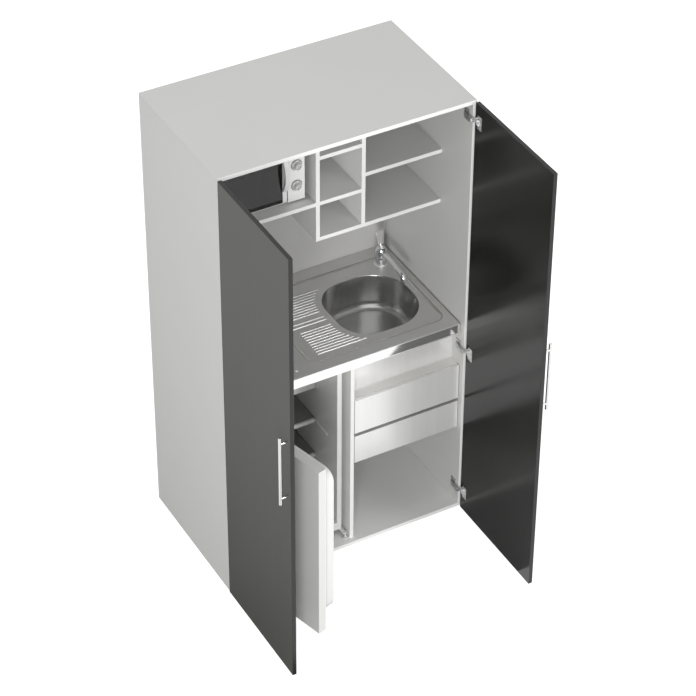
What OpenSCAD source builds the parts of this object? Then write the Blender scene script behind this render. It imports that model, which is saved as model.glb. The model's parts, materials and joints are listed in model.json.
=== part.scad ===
// Kitchenette cabinet: a tall two-door cupboard with a fridge, a stainless worktop
// with sink and hob, two drawers, a shelf unit and a microwave.
// Millimetres. Origin: centre of the footprint on the floor. +X right, +Y to the
// wall, +Z up. The doors are drawn as they stand open, with the fridge ajar.

/* [Cabinet] */
// Width over the two side panels
cabinet_w = 1040; // [1030:1:1080]
// Depth of the carcass without the doors
cabinet_d = 620; // [616:1:660]
// Height from the floor to the top
cabinet_h = 1920; // [1900:1:2000]
// Thickness of the faced boards
board_t = 16; // [15:1:18]
// Thickness of the back board
back_t = 6; // [4:1:8]
// Front of the worktop, divider and drawers behind the carcass front
inner_setback = 24; // [22:1:28]
// Underside of the worktop above the floor
worktop_under_z = 860; // [858:1:880]
// Gap between the left side panel and the fridge
fridge_left_gap = 24; // [20:1:30]
// Gap between the fridge and the centre divider
fridge_side_gap = 16; // [12:1:20]

/* [Shelf unit] */
// Front of the shelf unit behind the carcass front
shelf_setback = 204; // [190:1:225]
// Underside of the lowest shelf below the cabinet's top
shelf_unit_drop = 566; // [550:1:590]
// Clear width of the middle column
middle_column_w = 174; // [150:1:200]
// Height of the microwave shelf above the lowest shelf
microwave_shelf_rise = 158; // [150:1:165]
// Height of the upper middle shelf above the microwave shelf
middle_shelf_rise = 198; // [160:1:215]
// Height of the right-hand shelf above the lowest shelf
right_shelf_rise = 224; // [180:1:300]

/* [Cabinet doors] */
// Thickness of a door
door_t = 16; // [15:1:18]
// Gap between the carcass front and a closed door
door_standoff = 2; // [1.5:0.5:3]
// Gap between the two closed doors
door_meeting_gap = 3; // [2:0.5:5]
// Gap under a door
door_bottom_gap = 4; // [3:1:8]
// Gap above a door
door_top_gap = 2; // [1:1:4]
// Height of the lowest hinges above the floor
hinge_low_z = 97; // [80:1:120]
// Height of the middle hinges above the floor
hinge_middle_z = 794; // [780:1:800]
// Height of the top hinges below the cabinet's top
hinge_top_drop = 75; // [60:1:80]
// Diameter of a hinge cup
cup_d = 35; // [35:1:36]
// Depth of a hinge cup in the door
cup_depth = 11.5; // [11:0.5:12]
// Length of a handle bar
handle_len = 306; // [270:1:340]
// Distance between the posts of a handle
handle_post_gap = 250; // [200:1:256]
// Diameter of a handle bar
handle_d = 12; // [10:1:14]
// Middle of the handles above the floor
handle_z = 997; // [950:1:1050]

/* [Worktop and sink] */
// Gap between the worktop and each side panel
worktop_side_gap = 4; // [1:0.5:5]
// Height of the turned-down edge
apron_h = 43.5; // [42:0.5:46]
// Thickness of the stainless sheet
sheet_t = 1.5; // [1.2:0.1:2]
// Depth of the pressed field round the sink
field_depth = 4; // [3:0.5:5]
// Width and depth of the bowl opening
bowl_size = 346; // [330:1:348]
// Depth of the bowl
bowl_depth = 150; // [130:1:152]
// Corner radius of the bowl on the drainer side
bowl_left_r = 125; // [100:1:150]
// Corner radius of the bowl on the wall side
bowl_right_r = 152; // [120:1:165]
// Middle of the bowl from the right side panel
bowl_in = 234; // [232:1:242]
// Pitch of the drainer ribs
rib_pitch = 15.5; // [14:0.5:18]
// Height of a drainer rib
rib_h = 1.8; // [1.4:0.1:2]

/* [Tap] */
// Diameter of the tap body
tap_d = 46; // [42:1:50]
// Height of the tap body above its base plate
tap_body_h = 31; // [28:1:45]
// Reach of the spout from the middle of the tap
spout_reach = 195; // [160:1:210]
// Diameter of the spout tube
spout_d = 22; // [18:1:24]

/* [Hob] */
// Diameter of the front hotplate
front_plate_d = 145; // [140:1:180]
// Diameter of the rear hotplate
rear_plate_d = 180; // [145:1:185]
// Middle of the hob from the left side panel
hob_in = 194; // [174:1:204]

/* [Drawers] */
// Height of the upper drawer front
upper_front_h = 160; // [150:1:165]
// Height of the lower drawer front
lower_front_h = 130; // [120:1:150]
// Gap between the two drawer fronts
front_gap = 15; // [12:1:20]
// Height of the hand recess over the drawers
recess_h = 159; // [157:1:165]
// Depth of the hand recess
recess_d = 61; // [50:1:80]
// Length of a drawer box
drawer_len = 450; // [400:1:500]

/* [Fridge] */
// Width of the fridge
fridge_w = 488; // [470:1:488]
// Depth of the fridge without its door
fridge_d = 500; // [460:1:520]
// Thickness of the insulated walls
fridge_wall = 20; // [18:1:30]
// Thickness of the fridge door
fridge_door_t = 38; // [34:1:38]
// Clear height of the freezer box
freezer_h = 180; // [150:1:190]

/* [Microwave] */
// Width of the microwave
microwave_w = 440; // [430:1:450]
// Height of the microwave without its feet
microwave_h = 258; // [250:1:270]
// Depth of the microwave
microwave_d = 340; // [320:1:350]
// Width of the control panel
control_w = 69; // [64:1:80]
// Diameter of the turntable
turntable_d = 245; // [230:1:255]

/* [Hidden] */

$fn = 48;
eps = 0.01;

// carcass
front_y = -cabinet_d / 2;
back_y = cabinet_d / 2;
inner_back_y = back_y - back_t;
inner_x = cabinet_w / 2 - board_t;
inner_top_z = cabinet_h - board_t;
inner_front_y = front_y + inner_setback;
divider_left_x = fridge_left_gap - inner_x + fridge_w + fridge_side_gap;
divider_right_x = divider_left_x + board_t;
hinge_heights = [hinge_low_z, hinge_middle_z, cabinet_h - hinge_top_drop];

// a cupboard door, in its closed place with the hinge axis as its origin
hinge_in = 3;
hinge_out = 11;
door_reveal = 2;
door_w = cabinet_w / 2 - door_reveal - door_meeting_gap / 2;
door_edge_x = door_reveal - hinge_in;
door_face_y = hinge_out - door_standoff;
door_h = cabinet_h - door_bottom_gap - door_top_gap;
cup_x = door_edge_x + 4 + cup_d / 2;
cup_wall = 0.8;
flange_t = 1.2;
flange_lip = 2;
flange_front = 6;
flange_back = 22;
flange_half = 28;
cup_screw_x = 9;
cup_screw_z = 22;
screw_head_h = 1;
handle_inset = 22;
handle_clear = 24;
post_d = 10;
screw_d = 8;

// hinge arms on the side panels
arm_h = 15;
arm_half = 8;
arm_reach = 11;
arm_back = 48;
arm_nose = 4;
arm_level_y = 14;
arm_tail_y = 34;
arm_tail_h = 8;
plate_t = 3;
plate_y0 = 22;
plate_y1 = 54;
plate_half = 24;
plate_screw_z = 17;
pivot_d = 2.4;
pivot_fit = 0.05;
eye_d = 4.6;
finger_half = 3;
finger_y0 = -1.5;
finger_y1 = 1.9;
lug_gap = 0.3;
lug_h = 3.7;
lug_top = finger_half + lug_gap + lug_h;
pivot_notch_half = 8;

// shelf unit
microwave_left_gap = 15;
microwave_right_gap = 24;
shelf_unit_z = cabinet_h - shelf_unit_drop;
shelf_left_x = microwave_left_gap - inner_x + microwave_w + microwave_right_gap;
shelf_y = front_y + shelf_setback;
middle_left_x = shelf_left_x + board_t;
middle_right_x = middle_left_x + middle_column_w;
right_column_x = middle_right_x + board_t;
unit_top_z = shelf_unit_z + board_t;
microwave_shelf_z = shelf_unit_z + microwave_shelf_rise;
middle_shelf_z = microwave_shelf_z + middle_shelf_rise;
right_shelf_z = shelf_unit_z + right_shelf_rise;

// worktop
worktop_w = 2 * (inner_x - worktop_side_gap);
worktop_z = worktop_under_z + apron_h;
field_floor_z = worktop_z - field_depth;
field_from_hob = 104;
field_side = 30;
field_front = 54;
field_back = 62;
hob_x = inner_x - hob_in;
bowl_x = inner_x - bowl_in;
field_left_x = rear_plate_d / 2 + field_from_hob - hob_x;
field_right_x = worktop_w / 2 - field_side;
field_front_y = inner_front_y + field_front;
field_back_y = inner_back_y - field_back;
field_r = 42;
field_slope = 9;
bowl_from_front = 280;
bowl_y = inner_front_y + bowl_from_front;
bowl_floor_z = field_floor_z - bowl_depth;
bowl_foot_r = 34;
bowl_taper = 7;
bowl_half = bowl_size / 2;
bowl_corners = [
  [-1, -1, bowl_left_r], [-1, 1, bowl_left_r],
  [1, -1, bowl_right_r], [1, 1, bowl_right_r]];
bowl_flange = 8;
lip = 2.5;

// drainer
rib_half_w = 3.2;
rib_r = (rib_half_w * rib_half_w + rib_h * rib_h) / (2 * rib_h);
rib_gap_to_bowl = 28;
front_rib_x = field_left_x + 55;
long_rib_x = field_left_x + 28;
front_rib_in = 45;
front_rib_y = field_front_y + front_rib_in;
front_ribs = 10;
pair_rib_y = bowl_y - 6;
back_rib_in = 48;
back_rib_y = bowl_y + back_rib_in;
back_ribs = 9;

// waste
waste_d = 84;
waste_wall = 2;
waste_flange_d = 104;
waste_off = 50;
waste_y = bowl_y - waste_off;
waste_drop = 46;
pipe_d = 40;
pipe_wall = 2;
pipe_drop = 24;
pipe_z = bowl_floor_z - pipe_drop;
outlet_seat = 0.3;
basket_d = 70;
basket_h = 14;
basket_rim_d = 90;
basket_t = 1.2;
basket_stem_d = 7;
basket_grip_d = 18;
basket_grip_z = 3;
drain_holes = 12;
drain_hole_d = 6;

// tap
tap_side_in = 74;
tap_back_in = 102;
tap_x = inner_x - tap_side_in;
tap_y = inner_back_y - tap_back_in;
tap_plate_d = 58;
tap_plate_t = 5;
tap_hole_d = 34;
tap_shank_d = 33.8;
tap_shank_h = 30;
tap_nut_d = 50;
tap_nut_h = 8;
tail_d = 10;
tail_h = 80;
tail_spread = 8;
tap_z = field_floor_z + tap_plate_t;
collar_z = tap_z + tap_body_h;
collar_d = 48;
collar_h = 18;
collar_gap = 0.3;
turret_z = collar_z + collar_h + 2 * collar_gap;
turret_d = 44;
turret_h = 24;
core_pin_d = 28;
stub_d = 20;
stub_h = 8;
turn_fit = 0.05;
spout_angle = 3.5;
spout_rise = 22;
spout_slope = 25;
spout_bend_r = 40;
outlet_bend_r = 15;
spout_z = collar_z + collar_h / 2 + spout_rise;
outlet_drop = 26;
outlet_d = 24;
outlet_bore_d = 16;
lever_axis_z = turret_z + 15;
lever_slot_w = 11.6;
lever_slot_z = 9;
lever_pin_d = 4;
lever_hub_d = 10;
lever_hub_w = 11;
lever_lean = 12;
lever_len = 78;

// hob
hob_gap = 34;
front_plate_in = 155;
front_plate_y = inner_front_y + front_plate_in;
rear_plate_y = front_plate_y + (front_plate_d + rear_plate_d) / 2 + hob_gap;
plate_rise = 7;
knob_in = 46;
knob_y = inner_front_y + knob_in;
front_knob_x = -hob_x - 70;
rear_knob_x = -hob_x + 40;
lamp_x = -hob_x + 127;
spindle_d = 6;
spindle_fit = 0.05;
spindle_len = 20;
switch_size = 34;
switch_h = 30;
hob_knob_d = 42;
hob_knob_h = 22;
knob_skirt = 2.5;
pointer_w = 4;
pointer_h = 1.6;
knob_gap = 0.6;
plate_skirt = 22;
plate_seat = 3.5;
lamp_d = 12;

// drawers
front_top_z = worktop_under_z - recess_h;
upper_front_z = front_top_z - upper_front_h;
lower_front_z = upper_front_z - front_gap - lower_front_h;
front_side_gap = 3;
drawer_side_gap = 12.5;
drawer_wall = 12;
drawer_floor_t = 6;
drawer_x0 = divider_right_x + drawer_side_gap;
drawer_x1 = inner_x - drawer_side_gap;
drawer_y0 = inner_front_y + board_t;
upper_box_h = 110;
lower_box_h = 90;
box_lift = 20;
upper_box_z = upper_front_z + box_lift;
lower_box_z = lower_front_z + box_lift;
rail_lift = 14;
rail_h = 16;
rail_w = 10;
runner_w = 11;
runner_t = 1.5;
runner_play = 0.4;

// fridge
fridge_back_gap = 51;
fridge_x0 = fridge_left_gap - inner_x;
fridge_x1 = fridge_x0 + fridge_w;
fridge_y1 = inner_back_y - fridge_back_gap;
fridge_y0 = fridge_y1 - fridge_d;
fridge_foot_h = 28;
fridge_foot_d = 30;
fridge_foot_in = 45;
fridge_z0 = board_t + fridge_foot_h;
fridge_z1 = worktop_under_z - 8;
fridge_in_x0 = fridge_x0 + fridge_wall;
fridge_in_x1 = fridge_x1 - fridge_wall;
fridge_floor_t = 36;
fridge_roof_t = 28;
fridge_back_t = 40;
ledge_in = 75;
fridge_in_z0 = fridge_z0 + fridge_floor_t;
fridge_in_z1 = fridge_z1 - fridge_roof_t;
fridge_in_y1 = fridge_y1 - fridge_back_t;
ledge_y0 = fridge_y0 + ledge_in;
ledge_w = 6;
ledge_h = 8;
shelf_front_in = 167;
shelf_front_y = fridge_y0 + shelf_front_in;
glass_t = 5;
upper_shelf_z = 482;
lower_shelf_z = 306;
trim_h = 16;
trim_t = 10;
trim_drop = 7;
shelf_play = 1;
thermostat_in = 267;
thermostat_y = fridge_y0 + thermostat_in;
thermostat_z = 590;
thermostat_t = 14;
thermostat_w = 70;
thermostat_h = 56;
thermostat_knob_d = 36;
thermostat_knob_h = 14;
thermostat_spindle = 12;
freezer_z = fridge_in_z1 - freezer_h;
freezer_wall = 4;
flap_t = 8;
flap_play = 2;
flap_pull_in = 170;
flap_pull_z = fridge_in_z1 - 34;
flap_pull_h = 10;
flap_pin_d = 5;
flap_pin_y = shelf_front_y + 2.6;
flap_pin_z = freezer_z + 5;
crisper_z = fridge_in_z0 + 0.5;
crisper_h = 150;
crisper_wall = 3;
crisper_side_gap = 8;
crisper_pull_in = 140;
crisper_pull_out = 12;
crisper_pull_t = 6;
crisper_pull_z = crisper_z + crisper_h - 20;
crisper_y0 = shelf_front_y + 20;
crisper_y1 = fridge_in_y1 - 13;

// fridge door, closed place with the hinge axis as its origin
fridge_open = 75;
fridge_pin_in = 15;
fridge_pin_x = fridge_x0 + fridge_pin_in;
seal_t = 3.5;
fridge_door_y1 = fridge_y0 - seal_t;
fridge_pin_y = fridge_door_y1 - fridge_door_t + fridge_pin_in;
liner_t = 6;
liner_y = fridge_door_t - fridge_pin_in;
liner_edge_x = -12;
fridge_door_z0 = fridge_z0 + 9;
fridge_door_z1 = fridge_z1 - 4;
ridge_h = 70;
ridge_inset = 32;
ridge_wall = 14;
ridge_r = 50;
ridge_x0 = ridge_inset - fridge_pin_in;
ridge_x1 = fridge_w - fridge_pin_in - ridge_inset;
ridge_z0 = fridge_door_z0 + 38;
ridge_z1 = fridge_door_z1 - 76;
bin_d = 66;
bin_wall = 3;
bin_side_gap = 1;
bins = [[54, 110], [270, 80], [480, 80]];
pin_d = 8;
pin_fit = 0.05;
pin_depth = 12;
bracket_t = 3;
bracket_w = 44;
bracket_l = 75;
bracket_edge = 12;
bracket_arm_x = 14;
bracket_arm_y = fridge_y0 - fridge_pin_y - 2;
foot_strip_w = 12;
foot_strip_edge = 5;
foot_strip_l = 40;
foot_pad_d = 22;
foot_x = fridge_x1 + 2;
foot_y = fridge_y0 - 27;

// microwave
microwave_x1 = shelf_left_x - microwave_right_gap;
microwave_x0 = microwave_x1 - microwave_w;
microwave_back_gap = 29;
microwave_y0 = inner_back_y - microwave_back_gap - microwave_d;
microwave_foot_h = 8;
mw_foot_d = 24;
mw_foot_in = 30;
microwave_z0 = microwave_shelf_z + board_t + microwave_foot_h;
microwave_z1 = microwave_z0 + microwave_h;
mw_door_t = 26;
mw_door_gap = 2;
mw_door_x1 = microwave_x1 - control_w - 1;
mw_lug_t = 2.5;
mw_lug_gap = 0.5;
mw_pin_d = 5;
mw_case_y0 = microwave_y0 + mw_door_t + mw_door_gap;
mw_case_y1 = microwave_y0 + microwave_d;
mw_case_t = 2;
mw_pin_x = microwave_x0 + 7;
mw_pin_y = microwave_y0 + 12;
cavity_left = 20;
cavity_right = 24;
cavity_under = 26;
cavity_over = 20;
cavity_x0 = microwave_x0 + cavity_left;
cavity_x1 = microwave_x1 - control_w - cavity_right;
cavity_z0 = microwave_z0 + cavity_under;
cavity_z1 = microwave_z1 - cavity_over;
cavity_y0 = mw_case_y0 + 1;
cavity_back = 30;
cavity_y1 = mw_case_y1 - cavity_back;
cavity_t = 1.5;
glass_x0 = microwave_x0 + 14;
glass_right = 146;
glass_x1 = microwave_x1 - glass_right;
glass_margin = 22;
window_margin = 16;
pane_t = 3;
table_x = (cavity_x0 + cavity_x1) / 2;
table_y = (mw_case_y0 + cavity_y1) / 2;
mw_knob_d = 40;
mw_knob_h = 18;
mw_knob_in = 33;
timer_knob_up = 66;
power_knob_up = 154;
bow_in = 84;
mw_knob_x = microwave_x1 - mw_knob_in;
timer_knob_z = microwave_z0 + timer_knob_up;
power_knob_z = microwave_z0 + power_knob_up;
bow_x = microwave_x1 - bow_in;
bow_w = 20;
bow_h = 160;
bow_out = 32;
bow_t = 8;
drive_d = 10;
drive_h = 12;
table_t = 4;
table_z = 10;
table_hub_z = 6;
table_hub_r = 12;

// ---- shared shapes ----

module block(x0, x1, y0, y1, z0, z1) {
  translate([x0, y0, z0]) cube([x1 - x0, y1 - y0, z1 - z0]);
}

// rectangle with true round corners, about its middle
module rounded(w, d, r) {
  square([w - 2 * r, d], center = true);
  square([w, d - 2 * r], center = true);
  for (sx = [-1, 1], sy = [-1, 1])
    translate([sx * (w / 2 - r), sy * (d / 2 - r)]) circle(r);
}

module both_sides() {
  children();
  mirror([1, 0, 0]) children();
}

// ---- carcass ----

module top_panel()
  color("gainsboro") block(-cabinet_w / 2, cabinet_w / 2, front_y, back_y, inner_top_z, cabinet_h);

module side_panel()
  block(inner_x, cabinet_w / 2, front_y, back_y, 0, inner_top_z);

module left_side_panel() color("gainsboro") mirror([1, 0, 0]) side_panel();
module right_side_panel() color("gainsboro") side_panel();

module floor_panel()
  color("gainsboro") block(-inner_x, inner_x, front_y, inner_back_y, 0, board_t);

module back_panel()
  color("whitesmoke") difference() {
    block(-inner_x, inner_x, inner_back_y, back_y, 0, inner_top_z);
    translate([bowl_x, back_y + 1, pipe_z]) rotate([90, 0, 0])
      cylinder(d = pipe_d + 2 * outlet_seat, h = back_t + 2);
  }

module centre_divider()
  color("whitesmoke")
    block(divider_left_x, divider_right_x, inner_front_y, inner_back_y, board_t, worktop_under_z);

// closes the space round the sink bowl from below
module service_board()
  color("whitesmoke") block(divider_right_x, inner_x, drawer_y0 + 1.5, inner_back_y,
    front_top_z - board_t, front_top_z);

module sink_front_panel()
  color("whitesmoke") block(divider_right_x, inner_x, inner_front_y + recess_d,
    inner_front_y + recess_d + board_t, front_top_z, worktop_under_z);

// ---- shelf unit ----

module shelf(x0, x1, z) block(x0, x1, shelf_y, inner_back_y, z, z + board_t);

module shelf_divider_left()
  color("white") block(shelf_left_x, middle_left_x, shelf_y, inner_back_y, shelf_unit_z, inner_top_z);
module shelf_divider_right()
  color("white") block(middle_right_x, right_column_x, shelf_y, inner_back_y, unit_top_z, inner_top_z);
module bottom_shelf() color("white") shelf(middle_left_x, inner_x, shelf_unit_z);
module microwave_shelf() color("white") shelf(-inner_x, shelf_left_x, microwave_shelf_z);
module small_shelves() color("white") {
  shelf(middle_left_x, middle_right_x, microwave_shelf_z);
  shelf(middle_left_x, middle_right_x, middle_shelf_z);
  shelf(right_column_x, inner_x, right_shelf_z);
}

// ---- worktop, sink and drainer ----

// rounded frustum between an outline at the top and one field_slope smaller below
module field_form(z0, z1, grow) {
  w = field_right_x - field_left_x;
  d = field_back_y - field_front_y;
  translate([(field_left_x + field_right_x) / 2, (field_front_y + field_back_y) / 2, 0])
    hull() for (sx = [-1, 1], sy = [-1, 1])
      translate([sx * (w / 2 - field_r), sy * (d / 2 - field_r), 0]) {
        translate([0, 0, z1]) cylinder(r = field_r + grow, h = eps);
        translate([0, 0, z0]) cylinder(r = field_r - field_slope + grow, h = eps);
      }
}

module bowl_outline(grow)
  hull() for (c = bowl_corners)
    translate([bowl_x + c[0] * (bowl_half - c[2]), bowl_y + c[1] * (bowl_half - c[2])])
      circle(r = c[2] + grow, $fn = 96);

// a level of the bowl: its depth below the sheet and how far it is drawn in
function bowl_levels(foot) = concat([[0, 0]],
  [for (a = [0:15:90]) [bowl_depth - foot + foot * sin(a), bowl_taper + foot * (1 - cos(a))]]);

module bowl_form(grow)
  hull() for (level = bowl_levels(bowl_foot_r), c = bowl_corners)
    translate([bowl_x + c[0] * (bowl_half - c[2]), bowl_y + c[1] * (bowl_half - c[2]),
      field_floor_z - level[0] - grow])
      cylinder(r = c[2] - level[1] + grow, h = eps, $fn = 96);

// x where a rib at y stops beside the bowl
function rib_end(y) =
  let (r = bowl_left_r + rib_gap_to_bowl,
       centre_x = bowl_x - bowl_half + bowl_left_r,
       off = max(abs(y - bowl_y) - (bowl_half - bowl_left_r), 0))
  centre_x - sqrt(r * r - off * off);

rib_rows = concat(
  [for (i = [0:front_ribs - 1]) [front_rib_x, front_rib_y + i * rib_pitch]],
  [for (i = [0:1]) [long_rib_x, pair_rib_y + i * 1.25 * rib_pitch]],
  [for (i = [0:back_ribs - 1]) [long_rib_x, back_rib_y + i * rib_pitch]]);

module drainer_rib(x0, x1, y)
  translate([x0, y, field_floor_z + rib_h - rib_r]) {
    sphere(rib_r, $fn = 24);
    rotate([0, 90, 0]) cylinder(r = rib_r, h = x1 - x0, $fn = 24);
    translate([x1 - x0, 0, 0]) sphere(rib_r, $fn = 24);
  }

module worktop() color("silver") difference() {
  union() {
    difference() {
      block(-worktop_w / 2, worktop_w / 2, inner_front_y, inner_back_y, worktop_under_z, worktop_z);
      block(-worktop_w / 2 + sheet_t, worktop_w / 2 - sheet_t, inner_front_y + sheet_t,
        inner_back_y - sheet_t, worktop_under_z - 1, worktop_z - sheet_t);
      field_form(field_floor_z, worktop_z + eps, 0);
    }
    difference() {
      field_form(field_floor_z - sheet_t, worktop_z - eps, sheet_t);
      field_form(field_floor_z, worktop_z + 1, 0);
    }
    intersection() {
      union() for (row = rib_rows) drainer_rib(row[0], rib_end(row[1]), row[1]);
      block(field_left_x, bowl_x, field_front_y, field_back_y, field_floor_z - sheet_t / 2, worktop_z);
    }
  }
  hull() {
    translate([0, 0, field_floor_z]) linear_extrude(1) bowl_outline(lip);
    translate([0, 0, field_floor_z - sheet_t - eps]) linear_extrude(eps) bowl_outline(0);
  }
  translate([tap_x, tap_y, field_floor_z - 5]) cylinder(d = tap_hole_d, h = 10);
  for (p = [[front_plate_y, front_plate_d], [rear_plate_y, rear_plate_d]])
    translate([-hob_x, p[0], worktop_z - 5]) cylinder(d = p[1] - 12, h = 10, $fn = 96);
  for (x = [front_knob_x, rear_knob_x, lamp_x])
    translate([x, knob_y, worktop_z - 5]) cylinder(d = spindle_d + 2 * spindle_fit, h = 10);
}

module worktop_core() color("burlywood") difference() {
  block(-worktop_w / 2 + sheet_t, worktop_w / 2 - sheet_t, inner_front_y + sheet_t,
    inner_back_y - sheet_t, worktop_under_z, worktop_z - sheet_t);
  field_form(field_floor_z - sheet_t, worktop_z, sheet_t + eps);
  translate([0, 0, worktop_under_z - 1]) linear_extrude(apron_h) bowl_outline(bowl_flange + 1);
  translate([tap_x, tap_y, worktop_under_z - 1]) cylinder(d = tap_hole_d + 22, h = apron_h);
  for (p = [[front_plate_y, front_plate_d], [rear_plate_y, rear_plate_d]])
    translate([-hob_x, p[0], worktop_under_z - 1]) cylinder(d = p[1] - 4, h = apron_h, $fn = 96);
  for (x = [front_knob_x, rear_knob_x])
    translate([x, knob_y, worktop_under_z + apron_h / 2])
      cube([switch_size + 4, switch_size + 4, apron_h + 2], center = true);
  translate([lamp_x, knob_y, worktop_under_z - 1]) cylinder(d = 16, h = apron_h);
}

module sink_bowl() color("darkgray") difference() {
  union() {
    bowl_form(sheet_t);
    translate([0, 0, field_floor_z - 2 * sheet_t]) linear_extrude(sheet_t) bowl_outline(bowl_flange);
  }
  bowl_form(0);
  translate([0, 0, field_floor_z - sheet_t]) linear_extrude(20) bowl_outline(20);
  translate([bowl_x, waste_y, bowl_floor_z - 10]) cylinder(d = waste_d + 1, h = 20);
}

// ---- waste ----

module sink_strainer() color("silver")
  translate([bowl_x, waste_y, bowl_floor_z + sheet_t + 0.1]) difference() {
    union() {
      rotate_extrude() polygon([
        [0, -basket_h], [basket_d / 2, -basket_h], [basket_d / 2, 0],
        [basket_rim_d / 2, 0], [basket_rim_d / 2, basket_t],
        [basket_d / 2 - basket_t, basket_t], [basket_d / 2 - basket_t, basket_t - basket_h],
        [0, basket_t - basket_h]]);
      translate([0, 0, -basket_h]) cylinder(d = basket_stem_d, h = basket_h + basket_grip_z);
      translate([0, 0, basket_grip_z]) cylinder(d = basket_grip_d, h = 5);
    }
    for (i = [0:drain_holes - 1]) rotate(i * 360 / drain_holes)
      translate([basket_d / 2 - 11, 0, -basket_h - 1]) cylinder(d = drain_hole_d, h = 4);
  }

module waste_pipe(d)
  translate([bowl_x, back_y, pipe_z]) rotate([90, 0, 0]) cylinder(d = d, h = back_y - waste_y);

module waste_trap() color("lightgray") difference() {
  union() {
    translate([bowl_x, waste_y, bowl_floor_z]) cylinder(d = waste_flange_d, h = sheet_t);
    translate([bowl_x, waste_y, bowl_floor_z - waste_drop])
      cylinder(d = waste_d, h = waste_drop + sheet_t / 2);
    waste_pipe(pipe_d);
  }
  translate([bowl_x, waste_y, bowl_floor_z - waste_drop + waste_wall])
    cylinder(d = waste_d - 2 * waste_wall, h = waste_drop + sheet_t);
  translate([0, eps, 0]) waste_pipe(pipe_d - 2 * pipe_wall);
}

// ---- hob ----

module at_hotplates()
  for (p = [[front_plate_y, front_plate_d], [rear_plate_y, rear_plate_d]])
    translate([-hob_x, p[0], worktop_z]) {
      $plate_r = p[1] / 2;
      children();
    }

module hotplates() color("dimgray") at_hotplates() rotate_extrude($fn = 96) polygon([
  [0, plate_rise - 1], [20, plate_rise - 1], [22, plate_rise],
  [$plate_r - 2, plate_rise], [$plate_r, plate_rise - 2], [$plate_r, plate_seat],
  [$plate_r - 8, plate_seat], [$plate_r - 8, -plate_skirt], [0, -plate_skirt]]);

module hotplate_rims() color("silver") at_hotplates() rotate_extrude($fn = 96) polygon([
  [$plate_r - 7.5, 0], [$plate_r + 5, 0], [$plate_r + 5, 0.8],
  [$plate_r + 1, plate_seat], [$plate_r - 7.5, plate_seat]]);

module hob_switches() color("dimgray")
  for (x = [front_knob_x, rear_knob_x]) translate([x, knob_y, worktop_z - sheet_t - switch_h])
    difference() {
      translate([-switch_size / 2, -switch_size / 2, 0]) cube([switch_size, switch_size, switch_h]);
      cylinder(d = spindle_d + 2 * spindle_fit, h = switch_h + 1);
    }

// a turned knob on a spindle, its face at the top
module knob(d, h) {
  rotate_extrude() polygon([
    [0, 0], [d / 2, 0], [d / 2, knob_skirt], [d * 0.36, 2 * knob_skirt], [d * 0.33, h - 2],
    [d * 0.29, h], [0, h]]);
  translate([-pointer_w / 2, -d * 0.28, h - eps]) cube([pointer_w, d * 0.5, pointer_h]);
  translate([0, 0, -spindle_len - knob_gap]) cylinder(d = spindle_d, h = spindle_len + knob_gap + 1);
}

module hob_knob(x) color("black")
  translate([x, knob_y, worktop_z + knob_gap]) knob(hob_knob_d, hob_knob_h);
module front_plate_knob() hob_knob(front_knob_x);
module rear_plate_knob() hob_knob(rear_knob_x);

module hob_lamp() color("white") translate([lamp_x, knob_y, worktop_z]) {
  rotate_extrude() polygon([[0, 0], [lamp_d / 2, 0], [lamp_d / 2, 1.5], [lamp_d / 3, 3.5], [0, 4]]);
  translate([0, 0, -lamp_d]) cylinder(d = spindle_d, h = lamp_d + eps);
}

// ---- tap ----

module rod(p, q, d) {
  v = q - p;
  translate(p) rotate([0, acos(v[2] / norm(v)), atan2(v[1], v[0])]) cylinder(d = d, h = norm(v));
}

module tap_base_plate() color("silver") translate([tap_x, tap_y, field_floor_z])
  difference() {
    rotate_extrude() polygon([
      [0, 0], [tap_plate_d / 2, 0], [tap_plate_d / 2, 3], [tap_plate_d / 2 - 3, tap_plate_t],
      [0, tap_plate_t]]);
    translate([0, 0, -1]) cylinder(d = tap_hole_d, h = tap_plate_t + 2);
  }

module tap_body() color("silver") translate([tap_x, tap_y, 0]) {
  translate([0, 0, tap_z]) cylinder(d = tap_d, h = tap_body_h);
  translate([0, 0, tap_z]) cylinder(d = core_pin_d, h = turret_z - tap_z);
  translate([0, 0, tap_z]) cylinder(d = stub_d, h = turret_z - tap_z + stub_h);
  translate([0, 0, field_floor_z - tap_shank_h])
    cylinder(d = tap_shank_d, h = tap_plate_t + tap_shank_h);
  translate([0, 0, field_floor_z - sheet_t - tap_nut_h]) cylinder(d = tap_nut_d, h = tap_nut_h, $fn = 6);
  for (s = [-1, 1]) translate([s * tail_spread, 0, field_floor_z - tap_shank_h - tail_h])
    cylinder(d = tail_d, h = tail_h + 1);
}

// a length of the spout bent in the XZ plane about [x, z], from angle a by turn degrees
module spout_bow(x, z, r, a, turn)
  translate([x, 0, z]) rotate([90, 0, 0]) rotate(a) rotate_extrude(angle = turn)
    translate([r, 0]) circle(d = spout_d);

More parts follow.
